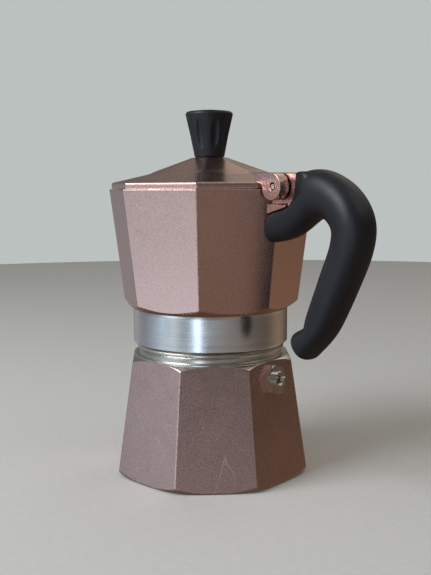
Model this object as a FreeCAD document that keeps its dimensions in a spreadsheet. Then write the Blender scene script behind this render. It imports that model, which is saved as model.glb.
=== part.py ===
"""Eight-sided stovetop moka pot, three cups, as separate pieces.

Millimetres and degrees. The origin is the middle of the boiler's foot, +Z is
up, the handle points along +X, the pouring spout along -X, and the lid's hinge
pin lies along Y.
"""
import FreeCAD, Part
import math
import os

import Sketcher
from FreeCAD import Placement, Rotation, Vector

doc = FreeCAD.newDocument("MokaPot")

DIMENSIONS = {
    # boiler
    "boiler_corner_low": 45.37,
    "boiler_corner_high": 37.39,
    "boiler_shoulder_z": 53.0,
    "boiler_turn": -13.04,
    "boiler_foot_radius": 40.0,
    "boiler_foot_curve": 5.5,
    "boiler_foot_top": 3.8,
    "shoulder_low_z": 48.6,
    "shoulder_low_radius": 39.4,
    "shoulder_high_z": 52.4,
    "shoulder_high_radius": 34.7,
    "shoulder_groove_radius": 32.2,
    "shoulder_groove_z": 54.5,
    "bead_z": 56.2,
    "bead_height": 1.3,
    "bead_radius": 33.1,
    "bead_curve": 1.6,
    "shoulder_curve": 9.5,
    "cavity_corner": 4.0,
    "cavity_corner_curve": 5.0,
    "valve_hole_length": 20.0,
    "valve_hole_start": 12.0,
    "handle_sink_depth": 20.0,
    "boiler_floor": 3.5,
    "cavity_low_radius": 37.5,
    "cavity_high_radius": 31.5,
    "cavity_high_z": 48.0,
    "facet_rounding": 0.7,
    "rim_rounding": 0.4,
    # screw joint
    "neck_radius": 30.4,
    "neck_bore": 27.2,
    "neck_bore_z": 52.0,
    "neck_top": 67.0,
    "screw_pitch": 3.0,
    "screw_turns": 1.6,
    "neck_ridge_start": 60.9,
    "neck_ridge_crest": 31.5,
    "neck_ridge_base": 2.0,
    "neck_ridge_land": 0.9,
    "collar_ridge_start": 59.4,
    "collar_ridge_crest": 30.75,
    "collar_ridge_base": 1.5,
    "collar_ridge_land": 0.6,
    "ridge_root": 0.4,
    # collector
    "collar_radius": 34.7,
    "collar_bottom": 58.0,
    "collar_top": 73.4,
    "collar_bore": 31.9,
    "gasket_recess_z": 67.3,
    "gasket_recess_radius": 30.7,
    "plate_recess_z": 71.3,
    "plate_recess_radius": 27.8,
    "plenum_z": 72.2,
    "plenum_radius": 24.0,
    "collector_floor_low": 74.5,
    "collector_floor": 79.0,
    "underside_radius": 41.2,
    "underside_z": 77.3,
    "collector_corner_low": 39.1,
    "collector_corner_rim": 45.72,
    "rim_z": 125.8,
    "inner_corner_low": 36.6,
    "inner_corner_rim": 43.1,
    # spout
    "spout_tip": 54.5,
    "spout_half_width": 13.0,
    "spout_foot": 39.9,
    "spout_foot_z": 80.0,
    "channel_tip": 51.6,
    "channel_half_width": 10.6,
    "channel_foot": 37.8,
    "channel_foot_z": 86.0,
    # hinge lug
    "pin_x": 49.9,
    "pin_z": 126.7,
    "pin_radius": 1.1,
    "pin_length_half": 7.9,
    "lug_thickness": 4.8,
    "lug_thickness_half": 2.4,
    "lug_nose": 5.5,
    "lug_reach": 63.0,
    "lug_shoulder": 58.4,
    "lug_top": 132.1,
    "lug_bottom": 113.6,
    "lug_root": 42.0,
    # coffee column
    "column_shank": 5.5,
    "column_base_radius": 9.0,
    "column_base_z": 84.0,
    "column_top_radius": 5.2,
    "column_top_z": 114.0,
    "column_tip_z": 119.5,
    "column_bore": 3.6,
    "column_roof_z": 116.5,
    "column_slot_low": 109.5,
    "column_slot_high": 114.5,
    "column_slot_width": 3.0,
    # funnel, gasket and filter plate
    "flange_radius": 30.2,
    "flange_thickness": 0.8,
    "basket_outer": 26.9,
    "basket_inner": 26.1,
    "basket_wall_z": 49.8,
    "basket_ledge": 25.0,
    "basket_ledge_z": 50.2,
    "hub_radius": 6.0,
    "hub_bottom": 41.5,
    "hub_outer_z": 43.6,
    "stem_radius": 4.5,
    "stem_bore": 3.5,
    "stem_top": 44.6,
    "stem_bottom": 7.0,
    "screen_radius": 25.8,
    "screen_thickness": 0.8,
    "perforation_radius": 0.8,
    "perforation_step": 5.4,
    "gasket_outer": 30.4,
    "gasket_inner": 25.5,
    "gasket_bottom": 67.8,
    "plate_radius": 27.5,
    "plate_thickness": 0.9,
    # safety valve, along its own axis from the facet outwards
    "valve_turn": 9.46,
    "valve_z": 44.4,
    "valve_bore": 4.0,
    "valve_flats": 11.6,
    "valve_hex_height": 2.6,
    "valve_hex_turn": 12.0,
    "valve_boss_radius": 3.55,
    "valve_boss_top": 4.4,
    "valve_inner_end": -9.0,
    "valve_seat": -8.0,
    "valve_chamber": 2.5,
    "valve_orifice": 1.3,
    "retainer_low": 2.2,
    "retainer_high": 3.2,
    "retainer_bore": 1.8,
    "poppet_radius": 2.2,
    "poppet_dimple": 0.8,
    "poppet_low": -7.4,
    "poppet_high": -5.9,
    "poppet_stem": 1.45,
    "poppet_tip": 7.0,
    "spring_radius": 2.0,
    "spring_wire": 0.25,
    "spring_turns": 7.0,
    # handle
    "handle_gap": 0.06,
    "slot_gap": 0.05,
    "prong_top_low": 115.2,
    "prong_top_high": 118.2,
    "handle_front": 57.3,
    "brow_z": 132.4,
    "brow_width": 12.6,
    "handle_margin": 10.0,
    "hinge_base_top": 119.8,
    "hinge_base_width": 8.8,
    "handle_screw_x": 52.0,
    "handle_screw_radius": 1.9,
    "handle_screw_head": 3.4,
    "handle_screw_head_z": 111.4,
    "handle_screw_top": 118.0,
    # lid
    "lid_bottom": 126.7,
    "lid_edge_z": 128.1,
    "lid_corner": 44.6,
    "lid_shoulder_corner": 43.9,
    "lid_shoulder_z": 128.75,
    "lid_middle_corner": 26.5,
    "lid_middle_z": 132.6,
    "lid_top_corner": 7.6,
    "lid_top_z": 139.6,
    "lid_skirt_corner": 42.4,
    "lid_wall": 1.4,
    "hinge_block_inner": 39.4,
    "hinge_block_width": 16.0,
    "hinge_half_width": 8.0,
    "hinge_block_top": 132.4,
    "ear_centre": 48.95,
    "ear_radius": 5.5,
    "ear_sweep": 6.2,
    "rim_notch": 6.6,
    "rim_notch_half_width": 8.4,
    "ear_gap_half": 3.2,
    "ear_bore": 1.17,
    "lid_slot_inner": 42.8,
    # knob
    "knob_base_radius": 6.6,
    "knob_waist_radius": 8.4,
    "knob_waist_z": 149.3,
    "knob_edge_radius": 10.45,
    "knob_edge_z": 158.2,
    "knob_dome_radius": 8.85,
    "knob_dome_z": 159.5,
    "knob_top": 160.2,
    "knob_dome_curve": 56.294643,
    "flute_length": 7.6,
    "flute_width": 1.95,
    "flute_depth": 1.9,
    "flute_z": 150.0,
    "flute_axis_radius": 9.45,
    "flute_tilt": 12.0,
    "flute_turn": 24.0,
    "insert_radius": 3.4,
    "insert_height": 12.0,
    "screw_radius": 2.0,
    "screw_length": 12.5,
    "screw_head_radius": 3.6,
    "screw_head_height": 2.2,
    "washer_radius": 4.8,
    "washer_thickness": 0.8,
}

# Middle line of the handle, each with its half depth and half width.
HANDLE_STATIONS = {
    "root": (40.5, 109.6, 6.2, 4.7),
    "throat": (52.5, 114.3, 8.3, 6.6),
    "shoulder": (65.3, 123.2, 9.9, 7.8),
    "crown": (77.2, 121.6, 8.6, 8.2),
    "elbow": (84.9, 113.9, 8.1, 8.2),
    "upper_grip": (85.0, 104.2, 7.8, 8.0),
    "grip": (78.3, 89.4, 7.4, 7.7),
    "lower_grip": (71.2, 75.0, 6.6, 7.3),
    "ankle": (67.6, 68.9, 5.3, 7.0),
    "heel": (61.3, 64.0, 6.2, 6.7),
    "tip": (59.2, 62.2, 4.4, 5.0),
}
STATION_KEYS = ("x", "z", "depth", "width")

for station, numbers in HANDLE_STATIONS.items():
    for key, number in zip(STATION_KEYS, numbers):
        DIMENSIONS["handle_" + station + "_" + key] = number

sheet = doc.addObject("Spreadsheet::Sheet", "Spreadsheet")
for row, (alias, number) in enumerate(DIMENSIONS.items(), start=1):
    sheet.set("A%d" % row, alias)
    sheet.set("B%d" % row, str(number))
    sheet.setAlias("B%d" % row, alias)
doc.recompute()

EIGHTH = 45.0
FACET = math.cos(math.radians(EIGHTH / 2))


# ---------------------------------------------------------------- helpers

def size(name):
    """A driving dimension, read from the sheet."""
    return float(sheet.get(name))


def amount(total):
    """Add up a sum such as 'neck_radius - 0.3', each term a dimension or a number."""
    result = 0.0
    sign = 1.0
    for token in str(total).split():
        if token in ("+", "-"):
            sign = -1.0 if token == "-" else 1.0
        else:
            result += sign * (size(token) if token in DIMENSIONS else float(token))
            sign = 1.0
    return result


def formula(total):
    """The same sum as an expression on the sheet."""
    tokens = str(total).split()
    return " ".join("Spreadsheet." + token if token in DIMENSIONS else token for token in tokens)


def bind(thing, **properties):
    """Bind properties of an object to sums of dimensions."""
    for name, total in properties.items():
        setattr(thing, name, amount(total))
        thing.setExpression(name, formula(total))


def new_body(name):
    return doc.addObject("PartDesign::Body", name)


def origin_plane(body, role):
    return next(item for item in body.Origin.OriginFeatures if item.Role == role)


def new_sketch(body, name, role="XZ_Plane", offset="0", turn=0.0):
    """A sketch on one of the body's own planes, raised by an offset along its normal."""
    sketch = body.newObject("Sketcher::SketchObject", name)
    sketch.AttachmentSupport = [(origin_plane(body, role), "")]
    sketch.MapMode = "FlatFace"
    rise = Vector(0, 0, amount(offset))
    sketch.AttachmentOffset = Placement(rise, Rotation(Vector(0, 0, 1), turn))
    if offset != "0":
        sketch.setExpression("AttachmentOffset.Base.z", formula(offset))
    return sketch


def pin_point(sketch, geometry, position, x, y):
    """Fix one point of a sketch at two sums of dimensions."""
    for kind, total in (("DistanceX", x), ("DistanceY", y)):
        index = sketch.addConstraint(Sketcher.Constraint(kind, geometry, position, amount(total)))
        sketch.setExpression("Constraints[%d]" % index, formula(total))


def outline(sketch, points):
    """Draw a closed outline: (x, y) starts a line, (x, y, radius) an arc to the next point.

    A positive radius bulges to the right of the way along the outline, a
    negative one to the left.
    """
    places = [Vector(amount(point[0]), amount(point[1]), 0) for point in points]
    count = len(points)
    for index, point in enumerate(points):
        start = places[index]
        end = places[(index + 1) % count]
        if len(point) == 2:
            sketch.addGeometry(Part.LineSegment(start, end), False)
        else:
            sketch.addGeometry(Part.Arc(start, arc_middle(start, end, amount(point[2])), end), False)
    for index, point in enumerate(points):
        first = end_of(sketch, index, places[index])
        before = (index - 1) % count
        last = end_of(sketch, before, places[index])
        sketch.addConstraint(Sketcher.Constraint("Coincident", before, last, index, first))
        pin_point(sketch, index, first, point[0], point[1])
        if len(point) == 3:
            radius = str(point[2]).lstrip("- ")
            number = sketch.addConstraint(Sketcher.Constraint("Radius", index, amount(radius)))
            sketch.setExpression("Constraints[%d]" % number, formula(radius))


def end_of(sketch, index, place):
    """Whether a sketch element starts (1) or ends (2) at a place."""
    edge = sketch.Geometry[index]
    near_start = (edge.StartPoint - place).Length < (edge.EndPoint - place).Length
    return 1 if near_start else 2


def arc_middle(start, end, radius):
    """The middle of the shorter arc of a signed radius between two points."""
    chord = end - start
    half = chord.Length / 2
    rise = abs(radius) - math.sqrt(radius * radius - half * half)
    side = Vector(chord.y, -chord.x, 0).normalize()
    return (start + end) * 0.5 + side * math.copysign(rise, radius)


def turned(body, name, points, cut=False):
    """Turn an outline in the XZ plane about the body's Z axis, adding or cutting."""
    sketch = new_sketch(body, name + "_outline")
    outline(sketch, points)
    feature = body.newObject("PartDesign::Groove" if cut else "PartDesign::Revolution", name)
    feature.Profile = sketch
    feature.ReferenceAxis = (sketch, ["V_Axis"])
    feature.Angle = 360.0
    return feature


def turned_body(name, points):
    body = new_body(name)
    turned(body, name + "_turned", points)
    return body


def perforate(body, name, rings, radius, through):
    """Drill rings of holes, six more in each ring than in the one inside it."""
    for ring in range(rings + 1):
        sketch = new_sketch(body, "%s_ring_%d" % (name, ring), "XY_Plane", "0")
        centre = Vector(ring * size("perforation_step"), 0, 0)
        sketch.addGeometry(Part.Circle(centre, Vector(0, 0, 1), amount(radius)), False)
        number = sketch.addConstraint(Sketcher.Constraint("Radius", 0, amount(radius)))
        sketch.setExpression("Constraints[%d]" % number, formula(radius))
        index = sketch.addConstraint(Sketcher.Constraint("DistanceX", 0, 3, centre.x))
        sketch.setExpression("Constraints[%d]" % index, "%d * Spreadsheet.perforation_step" % ring)
        sketch.addConstraint(Sketcher.Constraint("PointOnObject", 0, 3, -1))
        pocket = body.newObject("PartDesign::Pocket", "%s_holes_%d" % (name, ring))
        pocket.Profile = sketch
        pocket.Type = "ThroughAll"
        pocket.Midplane = True
        if ring:
            pattern = body.newObject("PartDesign::PolarPattern", "%s_pattern_%d" % (name, ring))
            pattern.Originals = [pocket]
            pattern.Axis = (origin_plane(body, "Z_Axis"), [""])
            pattern.Angle = 360.0
            pattern.Occurrences = 6 * ring
            body.Tip = pattern


def octagon(name, corner, z, turn=0.0):
    """A flat eight-sided polygon with a corner at a turn from +X."""
    polygon = doc.addObject("Part::RegularPolygon", name)
    polygon.Polygon = 8
    bind(polygon, Circumradius=corner)
    polygon.Placement = Placement(Vector(0, 0, amount(z)), Rotation(Vector(0, 0, 1), turn))
    polygon.setExpression("Placement.Base.z", formula(z))
    return polygon


def eight_sided(name, levels, turn=0.0, ruled=True):
    """A solid through eight-sided sections, given as (corner radius, z) pairs."""
    loft = doc.addObject("Part::Loft", name)
    loft.Sections = [
        octagon("%s_%d" % (name, index), corner, z, turn)
        for index, (corner, z) in enumerate(levels)
    ]
    loft.Solid = True
    loft.Ruled = ruled
    return loft


def rounded_edges(name, base, radius, wanted):
    """Round the edges of an object for which wanted(edge) is true."""
    doc.recompute()
    fillet = doc.addObject("Part::Fillet", name)
    fillet.Base = base
    edges = base.Shape.Edges
    fillet.Edges = [
        (index, radius, radius) for index, edge in enumerate(edges, start=1) if wanted(edge)
    ]
    return fillet


def upright(edge):
    """True for the corner lines of an eight-sided solid, which rise more than they run."""
    first, last = edge.Vertexes[0].Point, edge.Vertexes[-1].Point
    across = Vector(last.x - first.x, last.y - first.y, 0).Length
    return abs(last.z - first.z) > across


def boolean(kind, name, base, tool):
    result = doc.addObject("Part::" + kind, name)
    result.Base = base
    result.Tool = tool
    return result


def fused(name, *pieces):
    result = doc.addObject("Part::MultiFuse", name)
    result.Shapes = list(pieces)
    return result


def rod(name, radius, length, base, axis=Vector(0, 0, 1)):
    """A Part cylinder from a base point along an axis."""
    cylinder = doc.addObject("Part::Cylinder", name)
    bind(cylinder, Radius=radius, Height=length)
    cylinder.Placement = Placement(base, Rotation(Vector(0, 0, 1), axis))
    return cylinder


def block(name, low, high):
    """A Part box between two corners, each three sums of dimensions."""
    box = doc.addObject("Part::Box", name)
    keys = (("Length", "x"), ("Width", "y"), ("Height", "z"))
    for (length, letter), first, last in zip(keys, low, high):
        setattr(box, length, amount(last) - amount(first))
        box.setExpression(length, "(%s) - (%s)" % (formula(last), formula(first)))
        box.setExpression("Placement.Base." + letter, formula(first))
    return box


def plate(name, points, thickness):
    """A plate of an outline in the XZ plane, centred on it."""
    body = new_body(name)
    sketch = new_sketch(body, name + "_outline")
    outline(sketch, points)
    pad = body.newObject("PartDesign::Pad", name + "_pad")
    pad.Profile = sketch
    pad.Midplane = True
    bind(pad, Length=thickness)
    return body


def helical_ridge(name, root, crest, start, base, land):
    """A screw ridge of trapezium section, right-handed, standing on a root radius."""
    pitch = size("screw_pitch")
    helix = Part.makeHelix(pitch, pitch * size("screw_turns"), root)
    section = [(root, -base / 2), (crest, -land / 2), (crest, land / 2), (root, base / 2)]
    corners = [Vector(radius, 0, z) for radius, z in section + section[:1]]
    ridge = Part.Wire(helix.Edges).makePipeShell([Part.makePolygon(corners)], True, True)
    solid = ridge if ridge.ShapeType == "Solid" else Part.Solid(ridge)
    if solid.Volume < 0:
        solid.reverse()
    feature = doc.addObject("Part::Feature", name)
    feature.Shape = solid
    feature.Placement = Placement(Vector(0, 0, start), Rotation())
    return feature


# ---------------------------------------------------------------- boiler

def make_boiler():
    hull = eight_sided(
        "boiler_hull",
        [("boiler_corner_low", "0"), ("boiler_corner_high", "boiler_shoulder_z")],
        size("boiler_turn"),
    )
    hull = rounded_edges("boiler_facets", hull, size("facet_rounding"), upright)
    envelope = turned_body("boiler_envelope", [
        ("0", "0"),
        ("boiler_foot_radius", "0", "boiler_foot_curve"),
        ("boiler_corner_low + 0.4", "boiler_foot_top"),
        ("boiler_corner_low + 0.4", "shoulder_low_z"),
        ("shoulder_low_radius", "shoulder_low_z", "shoulder_curve"),
        ("shoulder_high_radius", "shoulder_high_z"),
        ("shoulder_high_radius", "boiler_shoulder_z"),
        ("0", "boiler_shoulder_z"),
    ])
    lower = boolean("Common", "boiler_lower", hull, envelope)
    neck = turned_body("boiler_neck", [
        ("0", "shoulder_low_z"),
        ("shoulder_groove_radius", "shoulder_low_z"),
        ("shoulder_groove_radius", "shoulder_groove_z"),
        ("shoulder_groove_radius", "bead_z - bead_height", "bead_curve"),
        ("bead_radius", "bead_z", "bead_curve"),
        ("shoulder_groove_radius", "bead_z + bead_height"),
        ("neck_radius", "bead_z + bead_height"),
        ("neck_radius", "neck_top - rim_rounding"),
        ("neck_radius - rim_rounding", "neck_top"),
        ("0", "neck_top"),
    ])
    ridge = helical_ridge(
        "neck_ridge",
        size("neck_radius") - size("ridge_root"),
        size("neck_ridge_crest"),
        size("neck_ridge_start"),
        size("neck_ridge_base"),
        size("neck_ridge_land"),
    )
    solid = fused("boiler_solid", lower, neck, ridge)
    cavity = turned_body("boiler_cavity", [
        ("0", "boiler_floor"),
        ("cavity_low_radius - cavity_corner", "boiler_floor", "cavity_corner_curve"),
        ("cavity_low_radius", "boiler_floor + cavity_corner"),
        ("cavity_high_radius", "cavity_high_z"),
        ("neck_bore", "neck_bore_z"),
        ("neck_bore", "neck_top + 1.0"),
        ("0", "neck_top + 1.0"),
    ])
    hollow = boolean("Cut", "boiler_hollow", solid, cavity)
    bore = rod("valve_hole", "valve_bore", "valve_hole_length", Vector(), Vector(0, 0, 1))
    bore.Placement = valve_placement(-size("valve_hole_start"))
    return boolean("Cut", "boiler", hollow, bore)


def valve_placement(rise=0.0):
    """Where the valve's own axis meets its facet, moved along that axis."""
    slope = (size("boiler_corner_low") - size("boiler_corner_high")) * FACET
    tilt = math.atan2(slope, size("boiler_shoulder_z"))
    fraction = size("valve_z") / size("boiler_shoulder_z")
    radius = size("boiler_corner_low") * FACET - slope * fraction
    turn = math.radians(size("valve_turn"))
    outward = Vector(math.cos(turn), math.sin(turn), 0)
    axis = outward * math.cos(tilt) + Vector(0, 0, math.sin(tilt))
    flat = Rotation(Vector(0, 0, 1), size("valve_turn"))
    lean = Rotation(Vector(0, 1, 0), 90.0 - math.degrees(tilt))
    place = outward * radius + Vector(0, 0, size("valve_z"))
    return Placement(place + axis * rise, flat.multiply(lean))


# ---------------------------------------------------------------- safety valve

def make_valve_body():
    body = new_body("valve_body")
    hexagon = body.newObject("PartDesign::AdditivePrism", "valve_hexagon")
    hexagon.AttachmentSupport = [(origin_plane(body, "XY_Plane"), "")]
    hexagon.MapMode = "FlatFace"
    hexagon.AttachmentOffset = Placement(Vector(), Rotation(Vector(0, 0, 1), size("valve_hex_turn")))
    hexagon.Polygon = 6
    bind(hexagon, Height="valve_hex_height")
    hexagon.Circumradius = size("valve_flats") / 2 / math.cos(math.radians(30))
    hexagon.setExpression("Circumradius", "Spreadsheet.valve_flats / 2 / cos(30 deg)")
    turned(body, "valve_barrel", [
        ("0", "valve_inner_end"),
        ("valve_bore", "valve_inner_end"),
        ("valve_bore", "0"),
        ("valve_boss_radius", "0.5"),
        ("valve_boss_radius", "valve_boss_top - 0.3"),
        ("valve_boss_radius - 0.3", "valve_boss_top"),
        ("0", "valve_boss_top"),
    ])
    turned(body, "valve_corners", [
        ("valve_flats - valve_boss_radius - 2.1", "valve_hex_height"),
        ("valve_flats - valve_bore", "valve_hex_height - 0.9"),
        ("valve_flats - valve_bore", "valve_hex_height + 0.3"),
        ("valve_flats - valve_boss_radius - 2.1", "valve_hex_height + 0.3"),
    ], cut=True)
    turned(body, "valve_inside", [
        ("0", "valve_inner_end - 1.0"),
        ("valve_orifice", "valve_inner_end - 1.0"),
        ("valve_orifice", "valve_seat"),
        ("valve_chamber", "valve_seat"),
        ("valve_chamber", "valve_boss_top + 1.0"),
        ("0", "valve_boss_top + 1.0"),
    ], cut=True)
    body.Placement = valve_placement()
    return body


def make_valve_retainer():
    body = turned_body("valve_retainer", [
        ("retainer_bore", "retainer_low"),
        ("valve_chamber", "retainer_low"),
        ("valve_chamber", "retainer_high"),
        ("retainer_bore", "retainer_high"),
    ])
    body.Placement = valve_placement()
    return body


def make_valve_piston():
    body = turned_body("valve_piston", [
        ("0", "poppet_low"),
        ("poppet_radius", "poppet_low"),
        ("poppet_radius", "poppet_high"),
        ("poppet_stem", "poppet_high"),
        ("poppet_stem", "poppet_tip - 0.5"),
        ("poppet_stem - 0.4", "poppet_tip"),
        ("poppet_dimple", "poppet_tip"),
        ("poppet_dimple", "poppet_tip - 1.5"),
        ("0", "poppet_tip - 1.5"),
    ])
    body.Placement = valve_placement()
    return body


def make_valve_seal():
    body = turned_body("valve_seal", [
        ("0", "valve_seat"),
        ("poppet_radius", "valve_seat"),
        ("poppet_radius", "poppet_low"),
        ("0", "poppet_low"),
    ])
    body.Placement = valve_placement()
    return body


def make_valve_spring():
    """A closed coil between the poppet's shoulder and the retainer."""
    wire = size("spring_wire")
    start = size("poppet_high") + wire
    length = size("retainer_low") - wire - start
    radius = size("spring_radius")
    helix = Part.makeHelix(length / size("spring_turns"), length, radius)
    ring = Part.Wire(Part.makeCircle(wire, Vector(radius, 0, 0), Vector(0, 1, 0)))
    coil = Part.Wire(helix.Edges).makePipeShell([ring], True, True)
    feature = doc.addObject("Part::Feature", "valve_spring")
    feature.Shape = coil if coil.ShapeType == "Solid" else Part.Solid(coil)
    feature.Placement = valve_placement(start)
    return feature


# ---------------------------------------------------------------- funnel, gasket, filter

def make_funnel_basket():
    return turned_body("funnel_basket", [
        ("stem_radius", "hub_bottom"),
        ("hub_radius", "hub_bottom"),
        ("hub_radius", "hub_outer_z"),
        ("basket_outer", "basket_wall_z"),
        ("basket_outer", "neck_top"),
        ("flange_radius", "neck_top"),
        ("flange_radius", "neck_top + flange_thickness"),
        ("basket_inner", "neck_top + flange_thickness"),
        ("basket_inner", "basket_ledge_z"),
        ("basket_ledge", "basket_ledge_z"),
        ("stem_radius", "stem_top"),
    ])


def make_funnel_stem():
    return turned_body("funnel_stem", [
        ("stem_bore", "stem_bottom"),
        ("stem_radius", "stem_bottom"),
        ("stem_radius", "stem_top"),
        ("stem_bore", "stem_top"),
    ])


def perforated_disc(name, radius, low, thickness, rings):
    body = new_body(name)
    sketch = new_sketch(body, name + "_rim", "XY_Plane", "0")
    sketch.addGeometry(Part.Circle(Vector(), Vector(0, 0, 1), amount(radius)), False)
    number = sketch.addConstraint(Sketcher.Constraint("Radius", 0, amount(radius)))
    sketch.setExpression("Constraints[%d]" % number, formula(radius))
    sketch.addConstraint(Sketcher.Constraint("Coincident", 0, 3, -1, 1))
    pad = body.newObject("PartDesign::Pad", name + "_sheet")
    pad.Profile = sketch
    bind(pad, Length=thickness)
    perforate(body, name, rings, "perforation_radius", thickness)
    body.Placement = Placement(Vector(0, 0, amount(low)), Rotation())
    return body


def make_funnel_screen():
    return perforated_disc(
        "funnel_screen", "screen_radius", "basket_ledge_z", "screen_thickness", 4)


def make_filter_plate():
    return perforated_disc(
        "filter_plate", "plate_radius", "plate_recess_z", "plate_thickness", 4)


def make_gasket():
    return turned_body("gasket", [
        ("gasket_inner", "gasket_bottom"),
        ("gasket_outer", "gasket_bottom"),
        ("gasket_outer", "plate_recess_z"),
        ("gasket_inner", "plate_recess_z"),
    ])


# ---------------------------------------------------------------- collector

def make_collector():
    hull = eight_sided("collector_hull", [
        ("collector_corner_low", "collar_top"),
        ("collector_corner_rim", "rim_z"),
    ])
    hull = rounded_edges("collector_facets", hull, size("facet_rounding"), upright)
    envelope = turned_body("collector_envelope", [
        ("0", "collar_top"),
        ("collar_radius", "collar_top"),
        ("underside_radius", "underside_z"),
        ("collector_corner_rim + 4.0", "underside_z"),
        ("collector_corner_rim + 4.0", "rim_z"),
        ("0", "rim_z"),
    ])
    upper = boolean("Common", "collector_upper", hull, envelope)
    collar = turned_body("collector_collar", [
        ("0", "collar_bottom"),
        ("collar_radius - rim_rounding", "collar_bottom"),
        ("collar_radius", "collar_bottom + rim_rounding"),
        ("collar_radius", "collar_top"),
        ("collar_radius - 1.0", "collector_floor_low"),
        ("0", "collector_floor_low"),
    ])
    screw_room = turned_body("collector_screw_room", [
        ("0", "collar_bottom - 1.0"),
        ("collar_bore", "collar_bottom - 1.0"),
        ("collar_bore", "gasket_recess_z"),
        ("gasket_recess_radius", "gasket_recess_z"),
        ("gasket_recess_radius", "plate_recess_z"),
        ("plate_recess_radius", "plate_recess_z"),
        ("plate_recess_radius", "plenum_z"),
        ("plenum_radius", "plenum_z"),
        ("column_shank", "collector_floor_low"),
        ("0", "collector_floor_low"),
    ])
    ridge = helical_ridge(
        "collar_ridge",
        size("collar_bore") + size("ridge_root"),
        size("collar_ridge_crest"),
        size("collar_ridge_start"),
        size("collar_ridge_base"),
        size("collar_ridge_land"),
    )
    ring = boolean("Cut", "collector_ring", collar, screw_room)
    threaded = boolean("Fuse", "collector_threaded", ring, ridge)
    lug_base = plate("hinge_lug_base", [
        ("lug_root", "prong_top_low + 0.3"),
        ("pin_x + 3.6", "prong_top_high + 0.3"),
        ("pin_x + 3.6", "hinge_base_top"),
        ("lug_root", "hinge_base_top"),
    ], "hinge_base_width")
    solid = fused("collector_solid", upper, make_spout(), make_lug(), lug_base)
    well = eight_sided("collector_well", [
        ("inner_corner_low", "collector_floor"),
        ("inner_corner_rim", "rim_z"),
    ])
    column_hole = rod(
        "collector_column_hole", "column_shank", "collector_floor - collar_top + 2.0",
        Vector(0, 0, size("collar_top") - 1.0))
    pin_hole = rod(
        "collector_pin_hole", "pin_radius", "lug_thickness + 4.0",
        Vector(size("pin_x"), size("lug_thickness_half") + 2, size("pin_z")), Vector(0, -1, 0))
    handle_hole = rod(
        "collector_screw_hole", "handle_screw_radius", "handle_screw_top - handle_screw_head_z",
        Vector(size("handle_screw_x"), 0, size("handle_screw_head_z")))
    notches = [
        rod("collector_notch_%d" % side, "rim_notch", "rim_notch_half_width - ear_gap_half + 0.2",
            Vector(size("pin_x"), end, size("pin_z")), Vector(0, -1, 0))
        for side, end in enumerate((size("rim_notch_half_width"), 0.2 - size("ear_gap_half")))
    ]
    inside = fused("collector_inside", screw_room, well, column_hole, spout_channel(),
                   pin_hole, handle_hole, *notches)
    hollow = boolean("Cut", "collector_hollow", solid, inside)
    return boolean("Fuse", "collector", hollow, threaded)


def spout_wedge(name, rim, foot, foot_z):
    """A three-sided wedge on the -X corner: each level is (reach, root, half width)."""
    edges = []
    for level, (reach, root, spread), z in (("rim", rim, "rim_z"), ("foot", foot, foot_z)):
        sketch = doc.addObject("Sketcher::SketchObject", name + "_" + level)
        sketch.Placement = Placement(Vector(0, 0, amount(z)), Rotation())
        sketch.setExpression("Placement.Base.z", formula(z))
        outline(sketch, [("- " + reach, "0"), ("- " + root, "- " + spread), ("- " + root, spread)])
        edges.append(sketch)
    wedge = doc.addObject("Part::Loft", name)
    wedge.Sections = edges
    wedge.Solid = True
    wedge.Ruled = True
    return wedge


def make_spout():
    return spout_wedge(
        "spout",
        ("spout_tip", "inner_corner_low", "spout_half_width"),
        ("spout_foot", "inner_corner_low", "0.8"),
        "spout_foot_z")


def spout_channel():
    return spout_wedge(
        "spout_channel",
        ("channel_tip", "plenum_radius", "channel_half_width"),
        ("channel_foot", "plenum_radius", "0.6"),
        "channel_foot_z")


def make_lug():
    """The cast web that carries the hinge pin and runs on into the handle."""
    return plate("hinge_lug", [
        ("lug_root", "lug_bottom"),
        ("handle_screw_x + 4.0", "lug_bottom"),
        ("lug_reach", "lug_bottom + 7.0"),
        ("lug_reach", "lug_top - 4.0"),
        ("lug_shoulder", "lug_top"),
        ("pin_x", "lug_top", "lug_nose"),
        ("pin_x - 5.4", "pin_z"),
        ("pin_x - 5.4", "rim_z - 0.3"),
        ("lug_root", "rim_z - 0.3"),
    ], "lug_thickness")


# ---------------------------------------------------------------- coffee column

def make_coffee_column():
    body = new_body("coffee_column")
    turned(body, "column_outside", [
        ("0", "collector_floor_low"),
        ("column_shank", "collector_floor_low"),
        ("column_shank", "collector_floor"),
        ("column_base_radius", "collector_floor"),
        ("column_base_radius - 2.2", "column_base_z"),
        ("column_top_radius", "column_top_z"),
        ("column_top_radius - 1.2", "column_tip_z - 1.0"),
        ("column_top_radius - 3.0", "column_tip_z"),
        ("0", "column_tip_z"),
    ])
    turned(body, "column_bore_cut", [
        ("0", "collector_floor_low - 1.0"),
        ("column_bore", "collector_floor_low - 1.0"),
        ("column_bore", "column_roof_z - 2.0"),
        ("0", "column_roof_z"),
    ], cut=True)
    sketch = new_sketch(body, "column_slot")
    outline(sketch, [
        ("- column_slot_width", "column_slot_low"),
        ("column_slot_width", "column_slot_low"),
        ("column_slot_width", "column_slot_high"),
        ("- column_slot_width", "column_slot_high"),
    ])
    pocket = body.newObject("PartDesign::Pocket", "column_slots")
    pocket.Profile = sketch
    pocket.Type = "ThroughAll"
    pocket.Midplane = True
    return body


# ---------------------------------------------------------------- handle

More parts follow.
